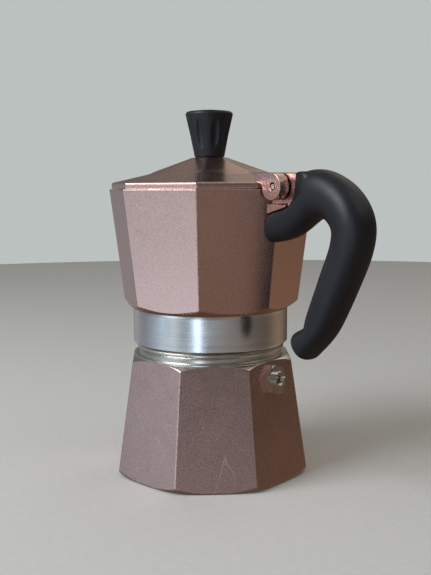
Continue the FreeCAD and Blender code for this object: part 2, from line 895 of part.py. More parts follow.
def station_section(name, tangent):
    """A closed section of the handle, slightly squarer than an ellipse."""
    prefix = "handle_" + name + "_"
    centre = Vector(size(prefix + "x"), 0, size(prefix + "z"))
    across = Vector(-tangent.z, 0, tangent.x)
    squareness = 2 / 2.3
    points = []
    for index in range(16):
        angle = math.radians(22.5 * index)
        c, s = math.cos(angle), math.sin(angle)
        deep = math.copysign(abs(c) ** squareness, c) * size(prefix + "depth")
        wide = math.copysign(abs(s) ** squareness, s) * size(prefix + "width")
        points.append(centre + across * deep + Vector(0, wide, 0))
    curve = Part.BSplineCurve()
    curve.interpolate(points, PeriodicFlag=True)
    return Part.Wire(curve.toShape())


def handle_blank():
    names = list(HANDLE_STATIONS)
    centres = [Vector(size("handle_%s_x" % name), 0, size("handle_%s_z" % name)) for name in names]
    line = Part.BSplineCurve()
    line.interpolate(centres)
    sections = []
    for name, centre in zip(names, centres):
        tangent = Vector(*line.tangent(line.parameter(centre))[0])
        sections.append(station_section(name, tangent.normalize()))
    feature = doc.addObject("Part::Feature", "handle_blank")
    feature.Shape = Part.makeLoft(sections, True, False)
    return feature


def along_side(edge):
    """True for the outline edges of a plate's two flat sides."""
    first, last = edge.Vertexes[0].Point, edge.Vertexes[-1].Point
    return abs(first.y - last.y) < 0.01


def handle_brow():
    """The squarer front of the handle that faces the hinge."""
    brow = plate("handle_brow_plate", [
        ("handle_front - 1.0", "prong_top_low"),
        ("handle_front + 8.0", "prong_top_low"),
        ("handle_front + 14.0", "brow_z - 9.0"),
        ("handle_front + 9.5", "brow_z + 0.4"),
        ("handle_front + 1.5", "brow_z"),
        ("handle_front - 1.0", "brow_z - 1.2"),
    ], "brow_width")
    return rounded_edges("handle_brow", brow, 2.4, along_side)


def make_handle():
    blank = handle_blank()
    fit = eight_sided("handle_fit", [
        ("collector_corner_low + handle_gap", "collar_top"),
        ("collector_corner_rim + handle_gap", "rim_z"),
    ])
    slot = block(
        "handle_slot",
        ("lug_root - 8.0", "- lug_thickness_half - slot_gap", "lug_bottom - 0.1"),
        ("lug_reach + 0.2", "lug_thickness_half + slot_gap", "lug_top + 0.1"))
    recess = plate("handle_recess", [
        ("lug_root - handle_margin", "prong_top_low - 1.0"),
        ("lug_root", "prong_top_low"),
        ("pin_x + 3.6", "prong_top_high"),
        ("handle_front - 0.8", "prong_top_high + 3.2"),
        ("handle_front", "prong_top_high + 6.6"),
        ("handle_front", "lug_top + handle_margin"),
        ("lug_root - handle_margin", "lug_top + handle_margin"),
    ], "hinge_block_width + handle_margin")
    screw_hole = rod(
        "handle_screw_hole", "handle_screw_radius", "lug_bottom",
        Vector(size("handle_screw_x"), 0, size("lug_bottom") - 20))
    screw_sink = rod(
        "handle_screw_sink", "handle_screw_head", "handle_sink_depth",
        Vector(size("handle_screw_x"), 0, size("handle_screw_head_z") - size("handle_sink_depth")))
    grip = blank
    brow = handle_brow()
    for tool in (fit, recess, slot, screw_hole, screw_sink):
        grip = boolean("Cut", "grip_less_" + tool.Label, grip, tool)
        brow = boolean("Cut", "brow_less_" + tool.Label, brow, tool)
    return boolean("Fuse", "handle", grip, brow)


def make_handle_screw():
    body = new_body("handle_screw")
    turned(body, "handle_screw_turned", [
        ("0", "handle_screw_head_z - 2.0"),
        ("handle_screw_head - 0.2", "handle_screw_head_z - 2.0"),
        ("handle_screw_head - 0.2", "handle_screw_head_z"),
        ("handle_screw_radius", "handle_screw_head_z"),
        ("handle_screw_radius", "handle_screw_top"),
        ("0", "handle_screw_top"),
    ])
    cross_recess(body, "handle_screw_drive", "handle_screw_head_z - 2.0")
    body.Placement = Placement(Vector(size("handle_screw_x"), 0, 0), Rotation())
    return body


def cross_recess(body, name, face):
    """A cross-shaped driver recess, cut upwards into a downward face."""
    for label, length, width in (("long", "1.8", "0.4"), ("wide", "0.4", "1.8")):
        sketch = new_sketch(body, name + "_" + label, "XY_Plane", face)
        outline(sketch, [
            ("- " + length, "- " + width),
            (length, "- " + width),
            (length, width),
            ("- " + length, width),
        ])
        pocket = body.newObject("PartDesign::Pocket", name + "_" + label + "_cut")
        pocket.Profile = sketch
        pocket.Length = 1.2
        pocket.Reversed = True


def make_hinge_pin():
    body = turned_body("hinge_pin", [
        ("0", "- pin_length_half"),
        ("pin_radius - 0.2", "- pin_length_half"),
        ("pin_radius", "- pin_length_half + 0.2"),
        ("pin_radius", "pin_length_half - 0.2"),
        ("pin_radius - 0.2", "pin_length_half"),
        ("0", "pin_length_half"),
    ])
    body.Placement = Placement(
        Vector(size("pin_x"), 0, size("pin_z")), Rotation(Vector(1, 0, 0), 90))
    return body


# ---------------------------------------------------------------- lid

def make_lid():
    edge = eight_sided("lid_edge", [
        ("lid_corner", "lid_bottom"),
        ("lid_corner", "lid_edge_z"),
        ("lid_shoulder_corner", "lid_shoulder_z"),
    ])
    roof = eight_sided("lid_roof", [
        ("lid_shoulder_corner", "lid_shoulder_z"),
        ("lid_middle_corner", "lid_middle_z"),
        ("lid_top_corner", "lid_top_z"),
    ], ruled=False)
    hinge = block(
        "lid_hinge_block",
        ("hinge_block_inner", "- hinge_half_width", "lid_bottom"),
        ("ear_centre", "hinge_half_width", "hinge_block_top"))
    disc = rod(
        "lid_ear_disc", "ear_radius", "hinge_block_width",
        Vector(size("ear_centre"), size("hinge_half_width"), size("pin_z")), Vector(0, -1, 0))
    sweep = rod(
        "lid_ear_sweep", "ear_sweep", "hinge_block_width",
        Vector(size("pin_x"), size("hinge_half_width"), size("pin_z")), Vector(0, -1, 0))
    ear = boolean("Common", "lid_ears", disc, sweep)
    outside = fused("lid_outside", edge, roof, hinge, ear)
    under = eight_sided("lid_under", [
        ("lid_skirt_corner", "lid_bottom - 0.5"),
        ("lid_skirt_corner", "lid_bottom + 0.4"),
        ("lid_middle_corner", "lid_middle_z - lid_wall"),
        ("lid_top_corner", "lid_top_z - lid_wall"),
    ])
    slot = block(
        "lid_slot",
        ("lid_slot_inner", "- ear_gap_half", "pin_z - 12.0"),
        ("ear_centre + 10.0", "ear_gap_half", "hinge_block_top + 3.0"))
    bore = rod(
        "lid_ear_bore", "ear_bore", "hinge_block_width + 2.0",
        Vector(size("pin_x"), size("hinge_half_width") + 1, size("pin_z")), Vector(0, -1, 0))
    screw = rod(
        "lid_screw_hole", "screw_radius", "10.0", Vector(0, 0, size("lid_top_z") - 5))
    inside = fused("lid_inside", under, slot, bore, screw)
    return boolean("Cut", "lid", outside, inside)


# ---------------------------------------------------------------- knob

def make_knob():
    body = new_body("knob")
    turned(body, "knob_outside", [
        ("0", "lid_top_z"),
        ("knob_base_radius - 0.4", "lid_top_z"),
        ("knob_base_radius", "lid_top_z + 0.4"),
        ("knob_waist_radius", "knob_waist_z"),
        ("knob_edge_radius", "knob_edge_z", "1.4"),
        ("knob_dome_radius", "knob_dome_z", "knob_dome_curve"),
        ("0", "knob_top"),
    ])
    turned(body, "knob_socket", [
        ("0", "lid_top_z - 1.0"),
        ("insert_radius", "lid_top_z - 1.0"),
        ("insert_radius", "lid_top_z + insert_height"),
        ("0", "lid_top_z + insert_height"),
    ], cut=True)
    flute = body.newObject("PartDesign::SubtractiveEllipsoid", "knob_flute")
    flute.AttachmentSupport = [(origin_plane(body, "XY_Plane"), "")]
    flute.MapMode = "FlatFace"
    bind(flute, Radius1="flute_length", Radius2="flute_depth", Radius3="flute_width")
    turn = Rotation(Vector(0, 0, 1), size("flute_turn"))
    flute.AttachmentOffset = Placement(
        turn.multVec(Vector(size("flute_axis_radius"), 0, size("flute_z"))),
        turn.multiply(Rotation(Vector(0, 1, 0), size("flute_tilt"))))
    pattern = body.newObject("PartDesign::PolarPattern", "knob_flutes")
    pattern.Originals = [flute]
    pattern.Axis = (origin_plane(body, "Z_Axis"), [""])
    pattern.Angle = 360.0
    pattern.Occurrences = 8
    body.Tip = pattern
    return body


def make_knob_insert():
    return turned_body("knob_insert", [
        ("screw_radius", "lid_top_z"),
        ("insert_radius", "lid_top_z"),
        ("insert_radius", "lid_top_z + insert_height"),
        ("screw_radius", "lid_top_z + insert_height"),
    ])


def make_knob_washer():
    return turned_body("knob_washer", [
        ("screw_radius", "lid_top_z - lid_wall - washer_thickness"),
        ("washer_radius", "lid_top_z - lid_wall - washer_thickness"),
        ("washer_radius", "lid_top_z - lid_wall"),
        ("screw_radius", "lid_top_z - lid_wall"),
    ])


def make_knob_screw():
    body = new_body("knob_screw")
    head = "lid_top_z - lid_wall - washer_thickness"
    turned(body, "knob_screw_turned", [
        ("0", head + " - screw_head_height"),
        ("screw_head_radius - 0.8", head + " - screw_head_height"),
        ("screw_head_radius", head + " - screw_head_height + 1.0"),
        ("screw_head_radius", head),
        ("screw_radius", head),
        ("screw_radius", head + " + screw_length"),
        ("0", head + " + screw_length"),
    ])
    cross_recess(body, "knob_screw_drive", head + " - screw_head_height")
    return body


# ---------------------------------------------------------------- assembly

SUB_PARTS = (
    make_boiler, make_valve_body, make_valve_retainer, make_valve_piston, make_valve_seal,
    make_valve_spring, make_funnel_basket, make_funnel_stem, make_funnel_screen, make_gasket,
    make_filter_plate, make_collector, make_coffee_column, make_handle, make_handle_screw,
    make_hinge_pin, make_lid, make_knob, make_knob_insert, make_knob_washer, make_knob_screw,
)


def finish(pieces):
    """Recompute, refuse any failed object or bad shape, and write each piece."""
    doc.recompute()
    failed = [item.Name for item in doc.Objects if set(item.State) & {"Invalid", "Error"}]
    if failed:
        raise RuntimeError("failed objects: " + ", ".join(failed))
    os.makedirs("parts", exist_ok=True)
    for piece in pieces:
        shape = piece.Shape
        if shape.isNull() or not shape.isValid() or not shape.Solids:
            raise RuntimeError("bad shape: " + piece.Label)
        print("%-16s solids %d  volume %9.1f" % (piece.Label, len(shape.Solids), shape.Volume))
        shape.exportStep("parts/" + piece.Label + ".step")


finish([make() for make in SUB_PARTS])
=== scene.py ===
"""Looks of the eight-sided moka pot: finished metal shells, moulded handle and knob, materials, studio."""
import math

import bmesh
import bpy
from mathutils import Matrix, Vector


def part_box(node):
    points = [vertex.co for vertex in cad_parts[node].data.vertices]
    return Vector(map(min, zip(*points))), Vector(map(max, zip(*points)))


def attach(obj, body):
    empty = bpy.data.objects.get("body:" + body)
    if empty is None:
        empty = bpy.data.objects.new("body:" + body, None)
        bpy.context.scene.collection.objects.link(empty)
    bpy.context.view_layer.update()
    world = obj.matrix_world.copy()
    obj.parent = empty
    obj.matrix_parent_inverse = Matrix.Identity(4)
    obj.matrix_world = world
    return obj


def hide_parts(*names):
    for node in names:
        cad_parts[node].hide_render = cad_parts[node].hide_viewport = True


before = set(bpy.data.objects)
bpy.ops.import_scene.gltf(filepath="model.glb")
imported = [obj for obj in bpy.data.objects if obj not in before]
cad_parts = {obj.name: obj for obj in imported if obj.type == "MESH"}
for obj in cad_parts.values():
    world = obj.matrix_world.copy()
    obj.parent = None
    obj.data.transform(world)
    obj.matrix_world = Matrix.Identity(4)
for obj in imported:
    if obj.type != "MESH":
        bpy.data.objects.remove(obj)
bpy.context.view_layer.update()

MM = 0.001


# ---------------------------------------------------------------- sizes, in millimetres

def low(node):
    return [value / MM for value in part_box(node)[0]]


def high(node):
    return [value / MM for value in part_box(node)[1]]


COLLECTOR_LOW, COLLECTOR_HIGH = low("collector"), high("collector")
BOILER_HIGH = high("boiler")
KNOB_LOW, KNOB_HIGH = low("knob"), high("knob")
PIN_LOW, PIN_HIGH = low("hinge_pin"), high("hinge_pin")

PIN_X = (PIN_LOW[0] + PIN_HIGH[0]) / 2
PIN_Z = (PIN_LOW[2] + PIN_HIGH[2]) / 2
RIM_Z = PIN_Z - 0.9
NECK_TOP = BOILER_HIGH[2]
COLLAR_BOTTOM = COLLECTOR_LOW[2]
LUG_TOP = COLLECTOR_HIGH[2]
LID_TOP = KNOB_LOW[2]
COS_HALF = math.cos(math.radians(22.5))
BOILER_TURN = -13.04
BOILER_TOP = 53.0
BOILER_CORNERS = (45.37, 37.39)
FOOT_RADIUS = 40.5
FOOT_ROUNDING = 5.5
SHOULDER_Z = 43.5
SHOULDER_CENTRE = 31.39
SHOULDER_ROUNDING = 9.5
SHOULDER_TOP_RADIUS = 34.7
COLLAR_RADIUS = 34.7
COLLAR_TOP = 73.4
COLLECTOR_CORNERS = (39.1, 45.72)
WELL_FLOOR = 79.0
WELL_CORNERS = (36.6, 43.1)
NECK_RADIUS = 30.4
COLLAR_BORE = 31.9
NOTCH_RADIUS = 6.6
PIN_HOLE = 1.5
EAR_X = 48.95
EAR_RADIUS = 5.5
EAR_SWEEP = 6.2
EAR_HALF_WIDTH = 8.0
EAR_GAP_HALF = 3.2
LUG_HALF = 2.4
LUG_SLOT_HALF = 2.45
LUG_BOTTOM = 113.6
PITCH = 3.0


# ---------------------------------------------------------------- small maths

def mix(a, b, fraction):
    return a + (b - a) * fraction


def clamp(value):
    return max(0.0, min(1.0, value))


def smooth(value):
    value = clamp(value)
    return value * value * (3 - 2 * value)


def soft_min(a, b, width):
    """The smaller of two values, with the crease between them rounded."""
    near = max(width - abs(a - b), 0.0) / width
    return min(a, b) - near * near * width / 4


def soft_max(a, b, width):
    return -soft_min(-a, -b, width)


def follow(points, at):
    """Value at a place along a list of (place, value) pairs."""
    if at <= points[0][0]:
        return points[0][1]
    for (x0, y0), (x1, y1) in zip(points, points[1:]):
        if at <= x1:
            return mix(y0, y1, (at - x0) / (x1 - x0))
    return points[-1][1]


def spread(start, end, count):
    """Evenly spaced places from start to end."""
    return [mix(start, end, index / (count - 1)) for index in range(count)]


def corner_offset(azimuth, turn=0.0):
    """Angle in degrees from the nearest corner of an eight-sided shape."""
    return (azimuth - turn + 22.5) % 45.0 - 22.5


def octagon(azimuth, corner, turn=0.0, rounding=0.8):
    """Radius of an eight-sided section with rounded corners."""
    off = math.radians(corner_offset(azimuth, turn))
    apothem = corner * COS_HALF
    rounding = min(rounding, apothem * 0.9)
    centre = (apothem - rounding) / COS_HALF
    across = centre * math.sin(abs(off))
    if across <= rounding * math.sin(math.radians(22.5)):
        return centre * math.cos(off) + math.sqrt(rounding * rounding - across * across)
    return apothem / math.cos(math.radians(22.5) - abs(off))


def boiler_corner(height):
    """Corner radius of the boiler's facets at one height."""
    return mix(*BOILER_CORNERS, height / BOILER_TOP)


def collector_corner(height):
    """Corner radius of the upper chamber's facets at one height."""
    return mix(*COLLECTOR_CORNERS, (height - COLLAR_TOP) / (RIM_Z - COLLAR_TOP))


def ring_angles(turn, corner):
    """Azimuths round an eight-sided ring, close together at its corners."""
    edge = math.degrees(0.8 * math.sin(math.radians(22.5)) / corner)
    near = [0.0, edge * 0.35, edge * 0.7, edge, edge * 1.4, edge * 2.4]
    away = spread(edge * 5, 22.5, 12)
    half = near + away
    sector = sorted([-angle for angle in half[1:-1]] + half)
    return [turn + 45.0 * side + angle for side in range(8) for angle in sector]


# ---------------------------------------------------------------- mesh building

def new_object(name, mesh):
    thing = bpy.data.objects.new(name, mesh)
    bpy.context.scene.collection.objects.link(thing)
    return thing


def skin(name, rows, angles, materials, choose, closed=False):
    """A turned surface: each row is (key, function of azimuth giving radius and height)."""
    mesh = bpy.data.meshes.new(name)
    points = []
    for key, place in rows:
        for azimuth in angles:
            radius, height = place(azimuth)
            turn = math.radians(azimuth)
            points.append((radius * math.cos(turn) * MM, radius * math.sin(turn) * MM, height * MM))
    count = len(angles)
    faces = []
    keys = []
    last = len(rows) if closed else len(rows) - 1
    for row in range(last):
        after = (row + 1) % len(rows)
        for side in range(count):
            step = (side + 1) % count
            faces.append((row * count + side, row * count + step, after * count + step, after * count + side))
            keys.append(choose(rows[row][0], rows[after][0]))
    if not closed:
        for row, flip in ((0, True), (len(rows) - 1, False)):
            loop = [row * count + side for side in range(count)]
            faces.append(tuple(reversed(loop)) if flip else tuple(loop))
            keys.append(choose(rows[row][0], rows[row][0]))
    mesh.from_pydata(points, [], faces)
    for material in materials:
        mesh.materials.append(material)
    mesh.polygons.foreach_set("material_index", keys)
    mesh.validate()
    thing = new_object(name, mesh)
    tidy_normals(thing)
    return thing


def tidy_normals(thing, angle=38.0):
    """Point faces outwards and shade smooth, with real edges kept sharp."""
    work = bmesh.new()
    work.from_mesh(thing.data)
    bmesh.ops.remove_doubles(work, verts=work.verts, dist=1e-6)
    bmesh.ops.recalc_face_normals(work, faces=work.faces)
    work.to_mesh(thing.data)
    work.free()
    thing.data.shade_smooth()
    thing.data.set_sharp_from_angle(angle=math.radians(angle))


def apply_modifiers(thing):
    """Replace an object's mesh by the result of its modifiers."""
    bpy.context.view_layer.update()
    graph = bpy.context.evaluated_depsgraph_get()
    mesh = bpy.data.meshes.new_from_object(thing.evaluated_get(graph))
    thing.modifiers.clear()
    thing.data = mesh
    return thing


def prism(name, outline, low_y, high_y):
    """A plate of an outline in the XZ plane, between two Y places."""
    mesh = bpy.data.meshes.new(name)
    count = len(outline)
    points = [(x * MM, y * MM, z * MM) for y in (low_y, high_y) for x, z in outline]
    faces = [tuple(range(count)), tuple(reversed(range(count, 2 * count)))]
    faces += [(i, i + count, (i + 1) % count + count, (i + 1) % count) for i in range(count)]
    mesh.from_pydata(points, [], faces)
    thing = new_object(name, mesh)
    tidy_normals(thing)
    return thing


def arc(centre, radius, start, end, count):
    """Points round an arc in the XZ plane, angles in degrees from +X towards +Z."""
    return [
        (centre[0] + radius * math.cos(math.radians(angle)),
         centre[1] + radius * math.sin(math.radians(angle)))
        for angle in spread(start, end, count)
    ]


def cut(thing, tools, operation="DIFFERENCE"):
    """Cut tools out of an object, or join them to it, and delete them."""
    for tool in tools:
        modifier = thing.modifiers.new("cut", "BOOLEAN")
        modifier.operation = operation
        modifier.solver = "EXACT"
        modifier.object = tool
    apply_modifiers(thing)
    for tool in tools:
        bpy.data.objects.remove(tool)
    return thing


def bevel(thing, width, segments=3, angle=32.0):
    """Round the sharp edges of an object."""
    modifier = thing.modifiers.new("edge", "BEVEL")
    modifier.width = width * MM
    modifier.segments = segments
    modifier.limit_method = "ANGLE"
    modifier.angle_limit = math.radians(angle)
    modifier.harden_normals = True
    modifier.use_clamp_overlap = True
    return apply_modifiers(thing)


# ---------------------------------------------------------------- node helpers

class Shader:
    """A node material under construction."""

    def __init__(self, name):
        self.material = bpy.data.materials.new(name)
        self.material.use_nodes = True
        self.nodes = self.material.node_tree.nodes
        self.links = self.material.node_tree.links
        self.main = self.nodes["Principled BSDF"]
        self.place = self.nodes.new("ShaderNodeTexCoord").outputs["Object"]

    def link(self, value, socket):
        if hasattr(value, "is_output"):
            self.links.new(value, socket)
        else:
            socket.default_value = value

    def set(self, **values):
        for name, value in values.items():
            self.link(value, self.main.inputs[name.replace("_", " ")])

    def math(self, operation, a, b=0.0, clamped=False):
        node = self.nodes.new("ShaderNodeMath")
        node.operation = operation
        node.use_clamp = clamped
        self.link(a, node.inputs[0])
        self.link(b, node.inputs[1])
        return node.outputs[0]

    def stretch(self, scale):
        node = self.nodes.new("ShaderNodeMapping")
        self.links.new(self.place, node.inputs["Vector"])
        node.inputs["Scale"].default_value = scale
        return node.outputs[0]

    def noise(self, scale, detail=3.0, roughness=0.55, stretch=None, distortion=0.0):
        node = self.nodes.new("ShaderNodeTexNoise")
        self.link(stretch if stretch is not None else self.place, node.inputs["Vector"])
        node.inputs["Scale"].default_value = scale
        node.inputs["Detail"].default_value = detail
        node.inputs["Roughness"].default_value = roughness
        node.inputs["Distortion"].default_value = distortion
        return node.outputs["Fac"]

    def hairline(self, scale, stretch, half_width, mask_scale):
        """Fine broken scratches: where a slow noise crosses its middle value."""
        field = self.noise(scale, 1.0, 0.5, self.stretch(stretch), 0.3)
        off = self.math("ABSOLUTE", self.math("SUBTRACT", field, 0.5))
        line = self.math("SUBTRACT", 1.0, self.math("DIVIDE", off, half_width), True)
        mask = self.rescale(self.noise(mask_scale, 1.0), 0.52, 0.60, 0.0, 1.0)
        return self.math("MULTIPLY", line, mask, True)

    def cells(self, scale, feature="F1"):
        node = self.nodes.new("ShaderNodeTexVoronoi")
        self.links.new(self.place, node.inputs["Vector"])
        node.feature = feature
        node.inputs["Scale"].default_value = scale
        return node.outputs["Distance"]

    def ramp(self, value, stops):
        node = self.nodes.new("ShaderNodeValToRGB")
        self.link(value, node.inputs[0])
        elements = node.color_ramp.elements
        while len(elements) < len(stops):
            elements.new(0.5)
        for element, (place, colour) in zip(elements, stops):
            element.position = place
            element.color = colour if len(colour) == 4 else (*colour, 1.0)
        return node.outputs[0]

    def rescale(self, value, low_in, high_in, low_out, high_out):
        node = self.nodes.new("ShaderNodeMapRange")
        self.link(value, node.inputs["Value"])
        for name, number in (("From Min", low_in), ("From Max", high_in),
                             ("To Min", low_out), ("To Max", high_out)):
            node.inputs[name].default_value = number
        return node.outputs[0]

    def blend(self, fraction, a, b, kind="MIX"):
        node = self.nodes.new("ShaderNodeMix")
        node.data_type = "RGBA"
        node.blend_type = kind
        self.link(fraction, node.inputs["Factor"])
        self.link(a if hasattr(a, "is_output") else (*a, 1.0), node.inputs["A"])
        self.link(b if hasattr(b, "is_output") else (*b, 1.0), node.inputs["B"])
        return node.outputs["Result"]

    def bump(self, height, strength, distance, under=None):
        node = self.nodes.new("ShaderNodeBump")
        self.link(height, node.inputs["Height"])
        node.inputs["Strength"].default_value = strength
        node.inputs["Distance"].default_value = distance
        if under is not None:
            self.links.new(under, node.inputs["Normal"])
        return node.outputs["Normal"]


# ---------------------------------------------------------------- materials

def tinted_metal(name, scratches):
    """Rose-tinted satin aluminium: sandy grain, specks and hairlines, bare where it has been turned."""
    s = Shader(name)
    sand = s.noise(1500, 2.5, 0.6)
    grain = s.noise(5200, 2.0, 0.6)
    cloud = s.noise(55, 4.0, 0.6)
    specks = s.rescale(s.cells(520), 0.0, 0.13, 1.0, 0.0)
    few = s.rescale(s.noise(230, 2.0), 0.58, 0.64, 0.0, 1.0)
    speck = s.math("MULTIPLY", s.math("MAXIMUM", specks, 0.0), few, True)
    hair = s.math("MULTIPLY", s.math(
        "ADD",
        s.hairline(60, (1.0, 0.6, 0.22), 0.0030, 24),
        s.hairline(75, (0.35, 1.0, 0.7), 0.0026, 31), True), scratches, True)
    tone = s.ramp(cloud, [(0.3, (0.60, 0.385, 0.335)), (0.7, (0.66, 0.43, 0.375))])
    tone = s.blend(s.rescale(sand, 0.38, 0.62, 0.0, 0.32), tone, (0.82, 0.60, 0.54))
    tone = s.blend(s.rescale(sand, 0.36, 0.50, 0.22, 0.0), tone, (0.36, 0.22, 0.19))
    tone = s.blend(s.math("MULTIPLY", speck, 0.7), tone, (0.95, 0.86, 0.80))
    tone = s.blend(s.math("MULTIPLY", hair, 0.55), tone, (0.97, 0.85, 0.80))
    machined = s.nodes.new("ShaderNodeAttribute")
    machined.attribute_name = "machined"
    bare = machined.outputs["Fac"]
    tone = s.blend(bare, tone, (0.66, 0.62, 0.55))
    rough = s.math("ADD", s.rescale(cloud, 0.3, 0.7, 0.23, 0.29), s.rescale(sand, 0.3, 0.7, -0.03, 0.03))
    s.set(Base_Color=tone, Metallic=1.0, Roughness=rough)
    height = s.math("ADD", s.math("MULTIPLY", grain, 0.5), sand)
    height = s.math("SUBTRACT", height, s.math("MULTIPLY", hair, 0.8))
    height = s.math("SUBTRACT", height, s.math("MULTIPLY", speck, 1.0))
    rings = s.noise(2600, 2.0, 0.7, s.stretch((0.004, 0.004, 1.0)))
    lathe = s.math("MULTIPLY", s.math("MULTIPLY", rings, bare), 0.8)
    cast = s.math("MULTIPLY", height, s.math("SUBTRACT", 1.0, bare))
    s.set(Normal=s.bump(s.math("ADD", cast, lathe), 0.20, 0.00006))
    return s.material


def turned_metal(name, colour, roughness, rings=2600.0, anisotropy=0.55):
    """Aluminium or steel turned on a lathe: fine rings round the pot's axis."""
    s = Shader(name)
    lines = s.noise(rings, 2.0, 0.7, s.stretch((0.004, 0.004, 1.0)))
    wide = s.noise(rings / 9, 2.0, 0.6, s.stretch((0.01, 0.01, 1.0)))
    patch = s.noise(70, 3.0, 0.6)
    bright = tuple(min(1.0, value * 1.06) for value in colour)
    dark = tuple(value * 0.88 for value in colour)
    tone = s.ramp(s.math("ADD", s.math("MULTIPLY", lines, 0.6), s.math("MULTIPLY", patch, 0.4)),
                  [(0.35, dark), (0.65, bright)])
    rough = s.math("ADD", s.rescale(patch, 0.3, 0.7, roughness - 0.03, roughness + 0.05),
                   s.rescale(lines, 0.3, 0.7, -0.02, 0.03))
    tangent = s.nodes.new("ShaderNodeTangent")
    tangent.direction_type = "RADIAL"
    tangent.axis = "Z"
    s.set(Base_Color=tone, Metallic=1.0, Roughness=rough, Anisotropic=anisotropy,
          Tangent=tangent.outputs[0])
    height = s.math("ADD", lines, s.math("MULTIPLY", wide, 1.2))
    s.set(Normal=s.bump(height, 0.18, 0.00004))
    return s.material


def plain_metal(name, colour, roughness, grain_size=1800.0, strength=0.2):
    """Bare metal with a fine cast or rolled grain and slight staining."""
    s = Shader(name)
    grain = s.noise(grain_size, 3.0, 0.65)
    stain = s.noise(90, 4.0, 0.6)
    dark = tuple(value * 0.82 for value in colour)
    tone = s.ramp(s.math("ADD", s.math("MULTIPLY", stain, 0.7), s.math("MULTIPLY", grain, 0.3)),
                  [(0.35, dark), (0.62, colour)])
    rough = s.rescale(stain, 0.3, 0.7, roughness - 0.05, roughness + 0.08)
    s.set(Base_Color=tone, Metallic=1.0, Roughness=rough)
    s.set(Normal=s.bump(grain, strength, 0.00008))
    return s.material


def moulded_nylon(name):
    """Matte black moulded nylon with a fine pebble and faint handling wear."""
    s = Shader(name)
    pebble = s.noise(1500, 2.0, 0.6)
    wear = s.noise(60, 4.0, 0.6)
    tone = s.ramp(wear, [(0.3, (0.0055, 0.006, 0.0085)), (0.72, (0.010, 0.011, 0.015))])
    tone = s.blend(s.rescale(pebble, 0.45, 0.75, 0.0, 0.4), tone, (0.016, 0.018, 0.024))
    rough = s.math("ADD", s.rescale(wear, 0.3, 0.7, 0.42, 0.52), s.rescale(pebble, 0.3, 0.7, -0.03, 0.03))
    s.set(Base_Color=tone, Roughness=rough, Specular_IOR_Level=0.5)
    s.set(Normal=s.bump(pebble, 0.30, 0.00012))
    return s.material


def rubber_like(name, colour):
    """Soft rubber with a slight bloom."""
    s = Shader(name)
    bloom = s.noise(150, 4.0, 0.6)
    fine = s.noise(2200, 2.0, 0.5)
    dark = tuple(value * 0.8 for value in colour)
    s.set(Base_Color=s.ramp(bloom, [(0.3, dark), (0.7, colour)]),
          Roughness=s.rescale(bloom, 0.3, 0.7, 0.55, 0.75))
    s.set(Normal=s.bump(fine, 0.25, 0.0001))
    return s.material


TINTED = tinted_metal("tinted_upper", 0.5)
TINTED_WORN = tinted_metal("tinted_worn", 1.0)
COLLAR = turned_metal("collar_turned", (0.78, 0.77, 0.76), 0.20)
SHOULDER = turned_metal("shoulder_turned", (0.66, 0.63, 0.57), 0.24)
CAST = plain_metal("cast_inside", (0.72, 0.71, 0.70), 0.42)
SHEET = turned_metal("pressed_sheet", (0.80, 0.79, 0.78), 0.30, 1500.0, 0.4)
NICKEL = plain_metal("nickel_plate", (0.80, 0.76, 0.70), 0.16, 2400.0, 0.10)
STEEL = plain_metal("plain_steel", (0.68, 0.67, 0.66), 0.24, 2200.0, 0.12)
BRASS = plain_metal("turned_brass", (0.78, 0.60, 0.30), 0.25)
NYLON = moulded_nylon("black_nylon")
RUBBER = rubber_like("gasket_rubber", (0.70, 0.68, 0.62))


# ---------------------------------------------------------------- boiler

def thread_height(azimuth, height, start, turns, half_base, half_land, rise):
    """Height of a helical ridge above its wall, seen at one azimuth and height."""
    best = 0.0
    for lap in range(int(turns) + 1):
        along = azimuth % 360.0 + 360.0 * lap
        if along > 360.0 * turns:
            continue
        fade = smooth(along / 14.0) * smooth((360.0 * turns - along) / 14.0)
        off = abs(height - (start + PITCH * along / 360.0))
        side = clamp((half_base - off) / (half_base - half_land))
        best = max(best, rise * fade * smooth(side))
    return best


def boiler_side(azimuth, height):
    """Outer radius of the faceted boiler: facets between a rounded foot and a rounded shoulder."""
    facets = octagon(azimuth, boiler_corner(height), BOILER_TURN)
    if height < FOOT_ROUNDING:
        foot = FOOT_RADIUS + math.sqrt(max(FOOT_ROUNDING ** 2 - (FOOT_ROUNDING - height) ** 2, 0.0))
        facets = soft_min(facets, foot, 0.5)
    if height > SHOULDER_Z:
        rise = height - SHOULDER_Z
        shoulder = SHOULDER_CENTRE + math.sqrt(max(SHOULDER_ROUNDING ** 2 - rise ** 2, 0.0))
        facets = soft_min(facets, max(shoulder, SHOULDER_TOP_RADIUS), 0.35)
    return facets


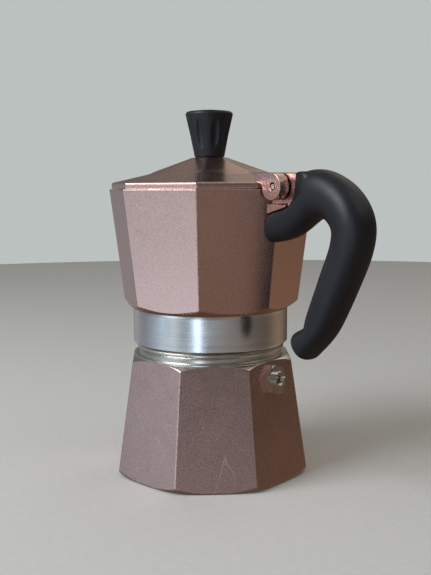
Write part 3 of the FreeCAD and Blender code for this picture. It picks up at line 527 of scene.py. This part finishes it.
def make_boiler():
    """Faceted water chamber with a turned shoulder, bead and threaded neck, open down to its floor."""
    def ring(radius, height):
        return lambda azimuth: (radius, height)

    def side(height):
        return lambda azimuth: (boiler_side(azimuth, height), height)

    def neck(height):
        return lambda azimuth: (
            NECK_RADIUS + thread_height(azimuth, height, 60.9, 1.6, 1.0, 0.45, 1.1), height)

    rows = [("base", ring(radius, height)) for radius, height in
            [(0.8, 0.45), (12, 0.45), (12.4, 0.25), (12.8, 0.45), (24, 0.45), (24.4, 0.25), (24.8, 0.45),
             (33.8, 0.45), (34.3, 0.3), (34.8, 0.05), (35.4, 0.0), (40.2, 0.0)]]
    foot = [0.02, 0.08, 0.2, 0.4, 0.65, 0.95, 1.3, 1.7, 2.1, 2.5, 2.9, 3.3, 3.7, 4.2, 4.8, 5.5]
    rows += [("facet", side(height)) for height in foot + spread(7.0, 45.5, 20)]
    rows += [("shoulder", side(height)) for height in spread(46.0, 52.4, 44)]
    rows += [("bare", ring(radius, height)) for radius, height in
             [(34.7, 52.75), (34.62, 52.93), (34.42, 53.0), (32.5, 53.0), (32.28, 53.08), (32.2, 53.3),
              (32.2, 54.7)]]
    rows += [("bare", ring(31.711 + math.sqrt(1.389 ** 2 - (height - 56.2) ** 2), height))
             for height in spread(54.92, 57.48, 16)]
    rows += [("bare", ring(30.6, 57.6)), ("bare", ring(30.42, 57.75))]
    rows += [("bare", neck(height)) for height in spread(58.4, 66.5, 60)]
    rows += [("bare", ring(radius, height)) for radius, height in
             [(30.4, 66.62), (30.0, NECK_TOP), (27.6, NECK_TOP), (27.2, 66.6), (27.2, 52.2), (27.5, 51.6)]]
    rows += [("inside", ring(mix(27.6, 31.4, step), mix(51.5, 48.2, step))) for step in spread(0, 1, 4)]
    rows += [("inside", ring(mix(31.5, 37.5, step), mix(47.8, 7.5, step))) for step in spread(0, 1, 12)]
    rows += [("inside", ring(33.5 + 4.0 * math.cos(turn), 7.5 - 4.0 * math.sin(turn)))
             for turn in (math.radians(degrees) for degrees in spread(8, 90, 8))]
    rows += [("inside", ring(radius, 3.5)) for radius in (20.0, 8.0, 0.8)]
    slots = {"base": 1, "facet": 0, "shoulder": 0, "bare": 2, "inside": 3}
    shell = skin("boiler_shell", rows, ring_angles(BOILER_TURN, 42.0), [TINTED_WORN, CAST, SHOULDER, CAST],
                 lambda here, after: slots[after])
    mark_machined(shell)
    return shell


def mark_machined(shell):
    """Note on each point how far the lathe has cut it back from the cast facets."""
    marks = shell.data.attributes.new("machined", "FLOAT", "POINT")
    for point, mark in zip(shell.data.vertices, marks.data):
        x, y, height = (value / MM for value in point.co)
        facets = octagon(math.degrees(math.atan2(y, x)), boiler_corner(height), BOILER_TURN)
        mark.value = smooth((facets - math.hypot(x, y) - 0.04) / 0.16)


# ---------------------------------------------------------------- collector

SPOUT_OUT = {"foot": (80.0, 39.9, 36.6, 0.8), "rim": (125.8, 54.5, 36.6, 13.0)}
SPOUT_IN = {"foot": (86.0, 37.8, 24.0, 0.6), "rim": (125.8, 51.6, 24.0, 10.6)}


def spout_radius(azimuth, height, spout):
    """Polar radius of the spout's V at one height, or nothing where the V isn't."""
    (z0, tip0, root0, half0), (z1, tip1, root1, half1) = spout["foot"], spout["rim"]
    step = (height - z0) / (z1 - z0)
    off = math.radians((azimuth - 180.0 + 180.0) % 360.0 - 180.0)
    if step < 0 or abs(off) > math.radians(60):
        return 0.0
    tip, root, half = mix(tip0, tip1, step), mix(root0, root1, step), mix(half0, half1, step)
    soft = math.hypot(math.sin(off), 0.018) - 0.018
    return tip * half / (half * math.cos(off) + (tip - root) * soft)


def collector_outside(azimuth, height):
    """Outer radius of the upper chamber: facets, the cone under them, the spout and the hinge notches."""
    radius = octagon(azimuth, collector_corner(height))
    if height < 78.5:
        radius = soft_min(radius, COLLAR_RADIUS + (height - COLLAR_TOP) * 6.5 / 3.9, 0.4)
    wedge = spout_radius(azimuth, height, SPOUT_OUT)
    if wedge > radius - 3:
        radius = soft_max(radius, wedge, 1.6)
    across = abs(radius * math.sin(math.radians(azimuth)))
    rise = abs(height - PIN_Z)
    if 2.6 < across < 8.6 and math.cos(math.radians(azimuth)) > 0 and rise < NOTCH_RADIUS:
        notch = (PIN_X - math.sqrt(NOTCH_RADIUS ** 2 - rise ** 2)) / math.cos(math.radians(azimuth))
        radius = min(radius, mix(radius, notch, smooth((across - 2.6) / 0.3)))
    return radius


def collector_inside(azimuth, height):
    radius = octagon(azimuth, mix(*WELL_CORNERS, (height - WELL_FLOOR) / (RIM_Z - WELL_FLOOR)), rounding=1.6)
    channel = spout_radius(azimuth, height, SPOUT_IN)
    if channel > radius - 2:
        radius = soft_max(radius, channel, 1.2)
    return radius


def make_collector():
    """Coffee chamber: threaded turned collar, facets, pouring spout, rim, inner walls and floor."""
    def ring(radius, height):
        return lambda azimuth: (radius, height)

    def side(height):
        return lambda azimuth: (collector_outside(azimuth, height), height)

    def lip(inset, height, inner):
        def place(azimuth):
            level = RIM_Z - 0.02
            wall = collector_inside(azimuth, level) if inner else collector_outside(azimuth, level)
            return (wall + inset if inner else wall - inset, height)
        return place

    def inside(height):
        return lambda azimuth: (collector_inside(azimuth, height), height)

    def floor(share, height):
        return lambda azimuth: (mix(10.5, collector_inside(azimuth, WELL_FLOOR), share), height)

    def bore(height):
        return lambda azimuth: (
            COLLAR_BORE - thread_height(azimuth, height, 59.4, 1.6, 0.75, 0.3, 1.15), height)

    rows = [("collar", ring(COLLAR_RADIUS - 0.4, COLLAR_BOTTOM)), ("collar", ring(COLLAR_RADIUS, 58.4))]
    rows += [("collar", ring(COLLAR_RADIUS, height)) for height in spread(60.0, 73.2, 10)]
    rows += [("facet", side(height)) for height in spread(73.45, 78.4, 40)]
    rows += [("facet", side(height)) for height in spread(79.2, 119.0, 24)]
    rows += [("facet", side(height)) for height in spread(119.6, 125.4, 12)]
    rows += [("facet", lip(inset, height, False)) for inset, height in
             [(0.04, 125.58), (0.14, 125.72), (0.32, RIM_Z)]]
    rows += [("lip", lip(0.5, RIM_Z, False)), ("lip", lip(0.45, RIM_Z, True)),
             ("lip", lip(0.14, 125.7, True)), ("inside", lip(0.0, 125.4, True))]
    rows += [("inside", inside(height)) for height in spread(124.6, 82.0, 22)]
    rows += [("inside", inside(height)) for height in (81.0, 80.4, 80.0)]
    rows += [("inside", floor(share, height)) for share, height in
             [(0.995, 79.55), (0.975, 79.2), (0.94, 79.03), (0.88, 79.0), (0.5, 79.0), (0.05, 79.0)]]
    rows += [("inside", ring(5.5, 79.0)), ("bare", ring(5.5, 74.5)), ("bare", ring(23.8, 72.25)),
             ("bare", ring(27.6, 72.2)), ("bare", ring(27.8, 72.0)), ("bare", ring(27.8, 71.4)),
             ("bare", ring(28.0, 71.3)), ("bare", ring(30.5, 71.3)), ("bare", ring(30.7, 71.1)),
             ("bare", ring(30.7, 67.4)), ("bare", ring(31.9, 67.3))]
    rows += [("bare", bore(height)) for height in spread(66.0, 58.5, 62)]
    rows += [("bare", ring(32.3, COLLAR_BOTTOM))]
    near_lug = spread(-13.5, 13.5, 73)
    near_spout = spread(157.0, 203.0, 93)
    plain = [angle for angle in ring_angles(0.0, 43.0)
             if 13.9 < angle % 360 < 156.6 or 203.4 < angle % 360 < 346.1]
    angles = sorted(angle % 360 for angle in near_lug + near_spout + plain)
    slots = {"collar": 1, "facet": 0, "lip": 2, "inside": 3, "bare": 2}
    return skin("collector_shell", rows, angles, [TINTED, COLLAR, SHEET, CAST],
                lambda here, after: slots[after], closed=True)


def make_hinge_lug():
    """The plate that stands out of the rim between the lid's ears and runs down inside the handle."""
    outline = [(42.6, LUG_BOTTOM), (56.0, LUG_BOTTOM), (63.0, 120.6), (63.0, 128.1), (58.4, LUG_TOP)]
    outline += arc((PIN_X, PIN_Z), 5.4, 90, 180, 14)
    outline += [(44.5, 125.5), (42.6, 125.5)]
    base = [(42.6, 115.6), (53.4, 118.5), (53.4, 119.7), (42.6, 119.7)]
    lug = prism("hinge_lug", outline, -LUG_HALF, LUG_HALF)
    cut(lug, [prism("lug_base", base, -4.35, 4.35)], "UNION")
    tidy_normals(lug)
    lug.data.materials.clear()
    return bevel(lug, 0.4)


# ---------------------------------------------------------------- lid

def make_lid():
    """Eight-sided lid: a low skirt, sloping facets in two pitches and a small flat under the knob."""
    top = [(44.6, 126.35), (44.6, 127.9), (44.5, 128.25), (44.25, 128.52), (43.9, 128.68), (43.4, 128.8)]
    slope = [(43.9, 128.68), (28.2, 132.18), (27.3, 132.42), (26.5, 132.72), (25.7, 133.05), (24.9, 133.42),
             (9.4, 138.9), (8.5, 139.25), (7.6, 139.48), (6.6, LID_TOP)]
    under = [(42.2, 127.1), (26.5, 131.2), (7.6, 138.0)]

    def ring(corner, height):
        def place(azimuth):
            radius = octagon(azimuth, corner, rounding=1.1)
            along, across = math.cos(math.radians(azimuth)), math.sin(math.radians(azimuth))
            if abs(radius * across) < EAR_GAP_HALF and along > 0:
                radius = min(radius, 42.8 / along)
            return (radius, height)
        return place

    upper = [(mix(a[0], b[0], step), mix(a[1], b[1], step)) for a, b in zip(slope, slope[1:])
             for step in ([0.0, 0.25, 0.5, 0.75] if a[0] - b[0] > 5 else [0.0])] + [slope[-1], (0.8, LID_TOP)]
    rows = [("top", ring(corner, height)) for corner, height in reversed(upper[1:])]
    rows += [("top", ring(corner, height)) for corner, height in reversed(top)]
    rows += [("edge", ring(44.55, 126.2)), ("edge", ring(44.35, 125.98)), ("edge", ring(42.7, 125.98))]
    rows += [("under", ring(corner, height)) for corner, height in under]
    rows += [("under", ring(0.8, 138.2))]
    slots = {"top": 0, "edge": 1, "under": 2}
    return skin("lid_shell", rows, ring_angles(0.0, 44.0), [TINTED, TINTED, CAST],
                lambda here, after: slots[after])


def make_lid_hinge():
    """Raised block at the back of the lid with two ears round the pin."""
    outline = [(39.3, 128.9), (39.6, 130.6), (40.3, 131.8), (41.4, 132.4)]
    outline += arc((EAR_X, PIN_Z), EAR_RADIUS, 90, -90, 26)
    lower = arc((EAR_X, PIN_Z), EAR_RADIUS, -100, -176, 14)
    outline += [
        (PIN_X + (x - PIN_X) * min(1, EAR_SWEEP / math.hypot(x - PIN_X, z - PIN_Z)),
         PIN_Z + (z - PIN_Z) * min(1, EAR_SWEEP / math.hypot(x - PIN_X, z - PIN_Z))) for x, z in lower]
    outline += [(43.4, 127.1), (42.0, 127.9)]
    top = max(z for x, z in outline)
    outline = [(x, min(z, top)) for x, z in outline]
    block = prism("lid_hinge", outline, -EAR_HALF_WIDTH, EAR_HALF_WIDTH)
    slot = prism("slot_tool", [(42.8, 115.0), (60.0, 115.0), (60.0, 140.0), (42.8, 140.0)],
                 -EAR_GAP_HALF, EAR_GAP_HALF)
    hole = prism("hole_tool", arc((PIN_X, PIN_Z), PIN_HOLE, 0, 350, 36), -10.0, 10.0)
    cut(block, [slot, hole])
    block.name = "lid_hinge"
    tidy_normals(block)
    block.data.materials.clear()
    return bevel(block, 0.42)


# ---------------------------------------------------------------- knob

KNOB_TURN = 24.0
KNOB_EDGE_Z = 158.1
KNOB_DOME_RADIUS = 56.3
FLUTE_Z = 150.0
FLUTE_HALF_LENGTH = 7.6
FLUTE_HALF_WIDTH = 2.05


def make_knob():
    """Moulded knob, wider at the top, with eight lens-shaped finger flutes."""
    side = [(139.62, 5.9), (139.75, 6.3), (140.0, 6.55), (140.4, 6.68), (149.3, 8.4), (KNOB_EDGE_Z, 10.42)]
    heights = [139.62, 139.75, 140.0, 140.4] + spread(141.0, KNOB_EDGE_Z, 70)
    rows = [(height, follow(side, height)) for height in heights]
    rows += [(KNOB_EDGE_Z + 1.42 * math.sin(math.radians(turn)), 9.02 + 1.4 * math.cos(math.radians(turn)))
             for turn in spread(9, 82, 10)]
    top = KNOB_HIGH[2]
    rows += [(top - radius * radius / (2 * KNOB_DOME_RADIUS), radius)
             for radius in (8.6, 7.2, 5.0, 3.0, 1.2, 0.4)]

    def place(height, radius):
        def at(azimuth):
            off = math.radians(corner_offset(azimuth, KNOB_TURN)) * radius
            rise = (height - FLUTE_Z) / FLUTE_HALF_LENGTH
            inside = 1 - (off / FLUTE_HALF_WIDTH) ** 2 - rise ** 2
            depth = 1.95 * math.sqrt(max(inside, 0.0)) - 0.95
            return (radius - 0.5 * (depth + math.hypot(depth, 0.12)) + 0.02, height)
        return at

    base = [(0, lambda azimuth: (0.5, KNOB_LOW[2])), (0, lambda azimuth: (5.6, KNOB_LOW[2]))]
    return skin("lid_knob", base + [(0, place(height, radius)) for height, radius in rows],
                spread(0, 359, 360), [NYLON], lambda here, after: 0)


# ---------------------------------------------------------------- handle

STATIONS = [
    (36.5, 107.6, 5.9, 4.6), (40.5, 109.6, 6.2, 4.7), (52.5, 114.3, 8.3, 6.6), (65.3, 123.2, 9.7, 7.8),
    (77.2, 121.6, 8.5, 8.1), (84.8, 113.9, 8.0, 8.1), (84.8, 104.2, 7.6, 8.0), (78.3, 89.4, 7.4, 7.7),
    (71.2, 75.0, 6.6, 7.3), (67.6, 68.9, 5.3, 7.0), (61.3, 64.0, 6.2, 6.7),
]


def spline(values, at):
    """Smooth curve through evenly numbered values."""
    last = len(values) - 1
    index = min(int(at), last - 1)
    t = at - index
    p1, p2 = values[index], values[index + 1]
    p0 = values[index - 1] if index > 0 else [2 * a - b for a, b in zip(p1, p2)]
    p3 = values[index + 2] if index + 2 <= last else [2 * b - a for a, b in zip(p1, p2)]
    return [
        0.5 * ((2 * b) + (c - a) * t + (2 * a - 5 * b + 4 * c - d) * t * t + (3 * b - a - 3 * c + d) * t ** 3)
        for a, b, c, d in zip(p0, p1, p2, p3)
    ]


def handle_core(rows_per_span=14, sides=72, exponent=2.35):
    """The curved grip before it is cut round the hinge."""
    mesh = bpy.data.meshes.new("handle_core")
    last = len(STATIONS) - 1
    places = [index / rows_per_span for index in range(last * rows_per_span + 1)]
    points = []

    def add_ring(x, z, along, deep, wide):
        normal = (-along[1], along[0])
        for side in range(sides):
            turn = 2 * math.pi * side / sides
            c, s = math.cos(turn), math.sin(turn)
            u = math.copysign(abs(c) ** (2 / exponent), c) * deep
            v = math.copysign(abs(s) ** (2 / exponent), s) * wide
            points.append(((x + normal[0] * u) * MM, v * MM, (z + normal[1] * u) * MM))

    rings = 0
    for place in places:
        x, z, deep, wide = spline(STATIONS, place)
        ahead, behind = spline(STATIONS, min(place + 0.02, last)), spline(STATIONS, max(place - 0.02, 0))
        along = Vector((ahead[0] - behind[0], ahead[1] - behind[1])).normalized()
        add_ring(x, z, along, deep, wide)
        rings += 1
    x, z, deep, wide = STATIONS[-1]
    for turn in (20, 38, 54, 68, 80):
        reach = 3.2 * math.sin(math.radians(turn))
        shrink = 0.42 + 0.58 * math.cos(math.radians(turn))
        add_ring(x + along[0] * reach, z + along[1] * reach, along, deep * shrink, wide * shrink)
        rings += 1
    faces = [tuple(reversed(range(sides))), tuple(range((rings - 1) * sides, rings * sides))]
    for ring in range(rings - 1):
        for side in range(sides):
            step = (side + 1) % sides
            a, b = ring * sides, (ring + 1) * sides
            faces.append((a + side, a + step, b + step, b + side))
    mesh.from_pydata(points, [], faces)
    thing = new_object("handle_core", mesh)
    tidy_normals(thing)
    return thing


def octagon_tool(gap):
    """The collector's faceted outside, a little larger, as a cutting tool."""
    mesh = bpy.data.meshes.new("octagon_tool")
    points = []
    for height in (90.0, 140.0):
        corner = collector_corner(height) + gap
        points += [(corner * math.cos(math.radians(45 * side)) * MM,
                    corner * math.sin(math.radians(45 * side)) * MM, height * MM) for side in range(8)]
    faces = [tuple(reversed(range(8))), tuple(range(8, 16))]
    faces += [(side, (side + 1) % 8, (side + 1) % 8 + 8, side + 8) for side in range(8)]
    mesh.from_pydata(points, [], faces)
    return new_object("octagon_tool", mesh)


def recess_tool():
    """Room for the ears: a shelf and a front wall that draw back towards the handle's sides."""
    edge = [
        (30.0, 113.6, 0.0, 0.3), (40.5, 115.3, 0.0, 0.3), (48.4, 117.3, 0.0, 0.36), (53.2, 118.9, 0.5, 0.38),
        (55.5, 121.5, 1.3, 0.1), (56.3, 124.1, 1.7, 0.0), (57.0, 128.9, 1.75, 0.0), (57.3, 131.8, 1.7, 0.0),
        (58.0, 142.0, 1.7, 0.0), (30.0, 142.0, 0.0, 0.0),
    ]
    mesh = bpy.data.meshes.new("recess_tool")
    points = []
    for y in (-12.0, -LUG_SLOT_HALF, LUG_SLOT_HALF, 12.0):
        beyond = abs(y) - LUG_SLOT_HALF
        points += [((x + back * beyond) * MM, y * MM, (z - drop * beyond) * MM) for x, z, back, drop in edge]
    count = len(edge)
    faces = [tuple(range(count)), tuple(reversed(range(3 * count, 4 * count)))]
    for layer in range(3):
        for side in range(count):
            step = (side + 1) % count
            a, b = layer * count, (layer + 1) * count
            faces.append((a + step, a + side, b + side, b + step))
    mesh.from_pydata(points, [], faces)
    thing = new_object("recess_tool", mesh)
    tidy_normals(thing)
    return thing


def make_handle():
    """Moulded handle: curved grip, squarer front round the hinge, soft lips and a narrow ankle."""
    grip = handle_core()
    brow = [(56.3, 115.0), (65.0, 116.0), (71.0, 123.0), (66.6, 132.5), (60.2, 132.4), (57.6, 132.0),
            (56.3, 131.0)]
    slot = [(30.0, 113.5), (56.2, 113.5), (63.2, 120.4), (63.2, 136.0), (30.0, 136.0)]
    cut(grip, [bevel(prism("brow", brow, -6.6, 6.6), 1.6, 5)], "UNION")
    cut(grip, [
        recess_tool(),
        prism("slot_tool", slot, -LUG_SLOT_HALF, LUG_SLOT_HALF),
        octagon_tool(0.10),
    ])
    grip.name = "handle_grip"
    remesh = grip.modifiers.new("skin", "REMESH")
    remesh.mode = "VOXEL"
    remesh.voxel_size = 0.42 * MM
    relax = grip.modifiers.new("relax", "SMOOTH")
    relax.factor = 0.5
    relax.iterations = 6
    apply_modifiers(grip)
    grip.data.shade_smooth()
    grip.data.materials.clear()
    return grip


# ---------------------------------------------------------------- putting the pieces together

def dress(thing, body, material=None, stands_for=None):
    """Give a piece its body and, where one is given, a single material slot holding that material, and hide
    the CAD node it stands for.
    """
    if material is not None:
        thing.data.materials.clear()
        thing.data.materials.append(material)
    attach(thing, body)
    if stands_for:
        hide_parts(stands_for)
    return thing


def paint_nodes():
    """Materials for the CAD nodes that stay as they are."""
    paints = {
        "valve_body": NICKEL, "valve_retainer": NICKEL, "valve_piston": NICKEL, "valve_spring": STEEL,
        "valve_seal": RUBBER, "funnel_basket": SHEET, "funnel_stem": SHEET, "funnel_screen": SHEET,
        "filter_plate": SHEET, "gasket": RUBBER, "coffee_column": CAST, "handle_screw": STEEL,
        "hinge_pin": NICKEL, "knob_insert": BRASS, "knob_washer": STEEL, "knob_screw": STEEL,
    }
    for node, material in paints.items():
        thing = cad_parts[node]
        thing.data.materials.clear()
        thing.data.materials.append(material)


dress(make_boiler(), "boiler", stands_for="boiler")
dress(make_collector(), "collector", stands_for="collector")
dress(make_hinge_lug(), "collector", TINTED_WORN)
dress(make_lid(), "lid", stands_for="lid")
dress(make_lid_hinge(), "lid", TINTED_WORN)
dress(make_knob(), "lid", stands_for="knob")
dress(make_handle(), "collector", NYLON, stands_for="handle")
paint_nodes()


# ---------------------------------------------------------------- studio

VIEW_AZIMUTH = -38.19
BACKDROP = (0.50, 0.535, 0.525)


class Sky(Shader):
    """The studio round the pot, as soft patches of light in given directions."""

    def __init__(self):
        world = bpy.data.worlds.new("studio")
        world.use_nodes = True
        bpy.context.scene.world = world
        self.nodes = world.node_tree.nodes
        self.links = world.node_tree.links
        self.background = self.nodes["Background"]
        turn = self.nodes.new("ShaderNodeVectorRotate")
        turn.rotation_type = "Z_AXIS"
        turn.inputs["Angle"].default_value = math.radians(-VIEW_AZIMUTH)
        self.links.new(self.nodes.new("ShaderNodeTexCoord").outputs["Generated"], turn.inputs["Vector"])
        split = self.nodes.new("ShaderNodeSeparateXYZ")
        self.links.new(turn.outputs[0], split.inputs[0])
        self.x, self.y, self.z = split.outputs
        self.around = self.math("MULTIPLY", self.math("ARCTAN2", self.y, self.x), 180 / math.pi)
        flat = self.math("SQRT", self.math("SUBTRACT", 1.0, self.math("MULTIPLY", self.z, self.z)))
        self.above = self.math("MULTIPLY", self.math("ARCTAN2", self.z, flat), 180 / math.pi)

    def lobe(self, around, above, width, height):
        """Soft patch: 1 at its middle, falling away over its half width and half height in degrees."""
        gap = self.math("ABSOLUTE", self.math("SUBTRACT", self.around, around))
        gap = self.math("MINIMUM", gap, self.math("SUBTRACT", 360.0, gap))
        gap = self.math("DIVIDE", gap, width)
        rise = self.math("DIVIDE", self.math("SUBTRACT", self.above, above), height)
        spread_out = self.math("ADD", self.math("POWER", gap, 2.0),
                               self.math("POWER", self.math("ABSOLUTE", rise), 2.0))
        return self.math("EXPONENT", self.math("MULTIPLY", spread_out, -1.0))

    def add(self, base, colour, strength, patch):
        scaled = tuple(value * strength for value in colour)
        node = self.nodes.new("ShaderNodeMix")
        node.data_type = "RGBA"
        node.blend_type = "ADD"
        node.clamp_factor = True
        self.link(patch, node.inputs["Factor"])
        self.link(base, node.inputs["A"])
        node.inputs["B"].default_value = (*scaled, 1.0)
        return node.outputs["Result"]


def make_world():
    sky = Sky()
    level = sky.rescale(sky.above, -90.0, 90.0, 0.0, 1.0)
    base = sky.ramp(level, [
        (0.10, (0.16, 0.115, 0.085)), (0.40, (0.105, 0.075, 0.055)), (0.49, (0.045, 0.036, 0.03)),
        (0.54, (0.075, 0.07, 0.065)), (0.70, (0.17, 0.17, 0.165)), (0.95, (0.30, 0.30, 0.30)),
    ])
    window, warm, wall, pale = (0.64, 0.82, 1.0), (1.0, 0.72, 0.48), (0.82, 0.90, 1.0), (1.0, 0.95, 0.74)
    for colour, strength, patch in (
            (window, 0.70, (-68, 2, 42, 30)),
            (window, 1.55, (-60, -22, 15, 5.6)),
            (window, 0.45, (-74, -3, 7, 9)),
            (pale, 0.55, (-54, -3, 6, 9)),
            (window, 4.2, (-19, -3, 4.5, 18)),
            (wall, 0.34, (-146, -8, 24, 20)),
            (wall, 0.13, (28, -6, 42, 18)),
            (window, 0.30, (5, -7, 16, 4)),
            (warm, 0.09, (30, -24, 40, 20)),
            (warm, 0.20, (120, -14, 22, 14)),
            (pale, 0.95, (148, 36, 26, 14))):
        base = sky.add(base, colour, strength, sky.lobe(*patch))
    soft = sky.nodes.new("ShaderNodeMix")
    soft.data_type = "RGBA"
    light_path = sky.nodes.new("ShaderNodeLightPath")
    sky.links.new(light_path.outputs["Is Camera Ray"], soft.inputs["Factor"])
    sky.links.new(base, soft.inputs["A"])
    soft.inputs["B"].default_value = (*BACKDROP, 1.0)
    sky.links.new(soft.outputs["Result"], sky.background.inputs["Color"])
    sky.background.inputs["Strength"].default_value = 1.0


def make_floor():
    """Plain pale floor, a wide disc under the pot."""
    mesh = bpy.data.meshes.new("floor")
    work = bmesh.new()
    bmesh.ops.create_circle(work, cap_ends=True, radius=1.05, segments=96)
    work.to_mesh(mesh)
    work.free()
    floor = new_object("floor", mesh)
    floor.location.z = -0.0002
    s = Shader("pale_floor")
    grain = s.noise(300, 4.0, 0.6)
    s.set(Base_Color=s.ramp(grain, [(0.3, (0.72, 0.69, 0.655)), (0.7, (0.76, 0.73, 0.69))]), Roughness=0.75)
    mesh.materials.append(s.material)
    floor.visible_glossy = False


def make_light(name, around, above, distance, size, power, colour):
    """A soft square light aimed at the middle of the pot."""
    light = bpy.data.lights.new(name, "AREA")
    light.size = size
    light.energy = power
    light.color = colour
    thing = bpy.data.objects.new(name, light)
    bpy.context.scene.collection.objects.link(thing)
    turn, rise = math.radians(around + VIEW_AZIMUTH), math.radians(above)
    out = Vector((math.cos(turn) * math.cos(rise), math.sin(turn) * math.cos(rise), math.sin(rise)))
    aim = Vector((0.0, 0.0, 0.08))
    thing.location = aim + out * distance
    thing.rotation_euler = (-out).to_track_quat("-Z", "Y").to_euler()
    return thing


def make_camera():
    """Camera level with the rim, looking slightly down at the pot's handle side."""
    camera = bpy.data.cameras.new("camera")
    camera.sensor_fit = "VERTICAL"
    camera.sensor_height = 36.0
    camera.lens = 52.1
    camera.clip_start = 0.01
    thing = bpy.data.objects.new("camera", camera)
    bpy.context.scene.collection.objects.link(thing)
    stand = Vector((0.2936, -0.2310, 0.1275))
    yaw, pitch, roll = math.radians(0.362), math.radians(7.034), math.radians(0.310)
    inward = Vector((-stand.x, -stand.y, 0.0)).normalized()
    ahead = Matrix.Rotation(-yaw, 3, "Z") @ inward
    ahead = (ahead * math.cos(pitch) - Vector((0, 0, 1)) * math.sin(pitch)).normalized()
    right = ahead.cross(Vector((0, 0, 1))).normalized()
    up = right.cross(ahead)
    across = right * math.cos(roll) - up * math.sin(roll)
    over = right * math.sin(roll) + up * math.cos(roll)
    turned = Matrix((across, over, -ahead)).transposed().to_4x4()
    thing.matrix_world = Matrix.Translation(stand) @ turned
    bpy.context.scene.camera = thing


make_world()
make_floor()
make_light("key", -62, 38, 0.9, 0.5, 5.6, (0.86, 0.93, 1.0))
make_light("fill", 70, 50, 1.1, 0.8, 1.2, (1.0, 0.93, 0.85))
make_camera()
bpy.context.scene.view_settings.view_transform = "Standard"
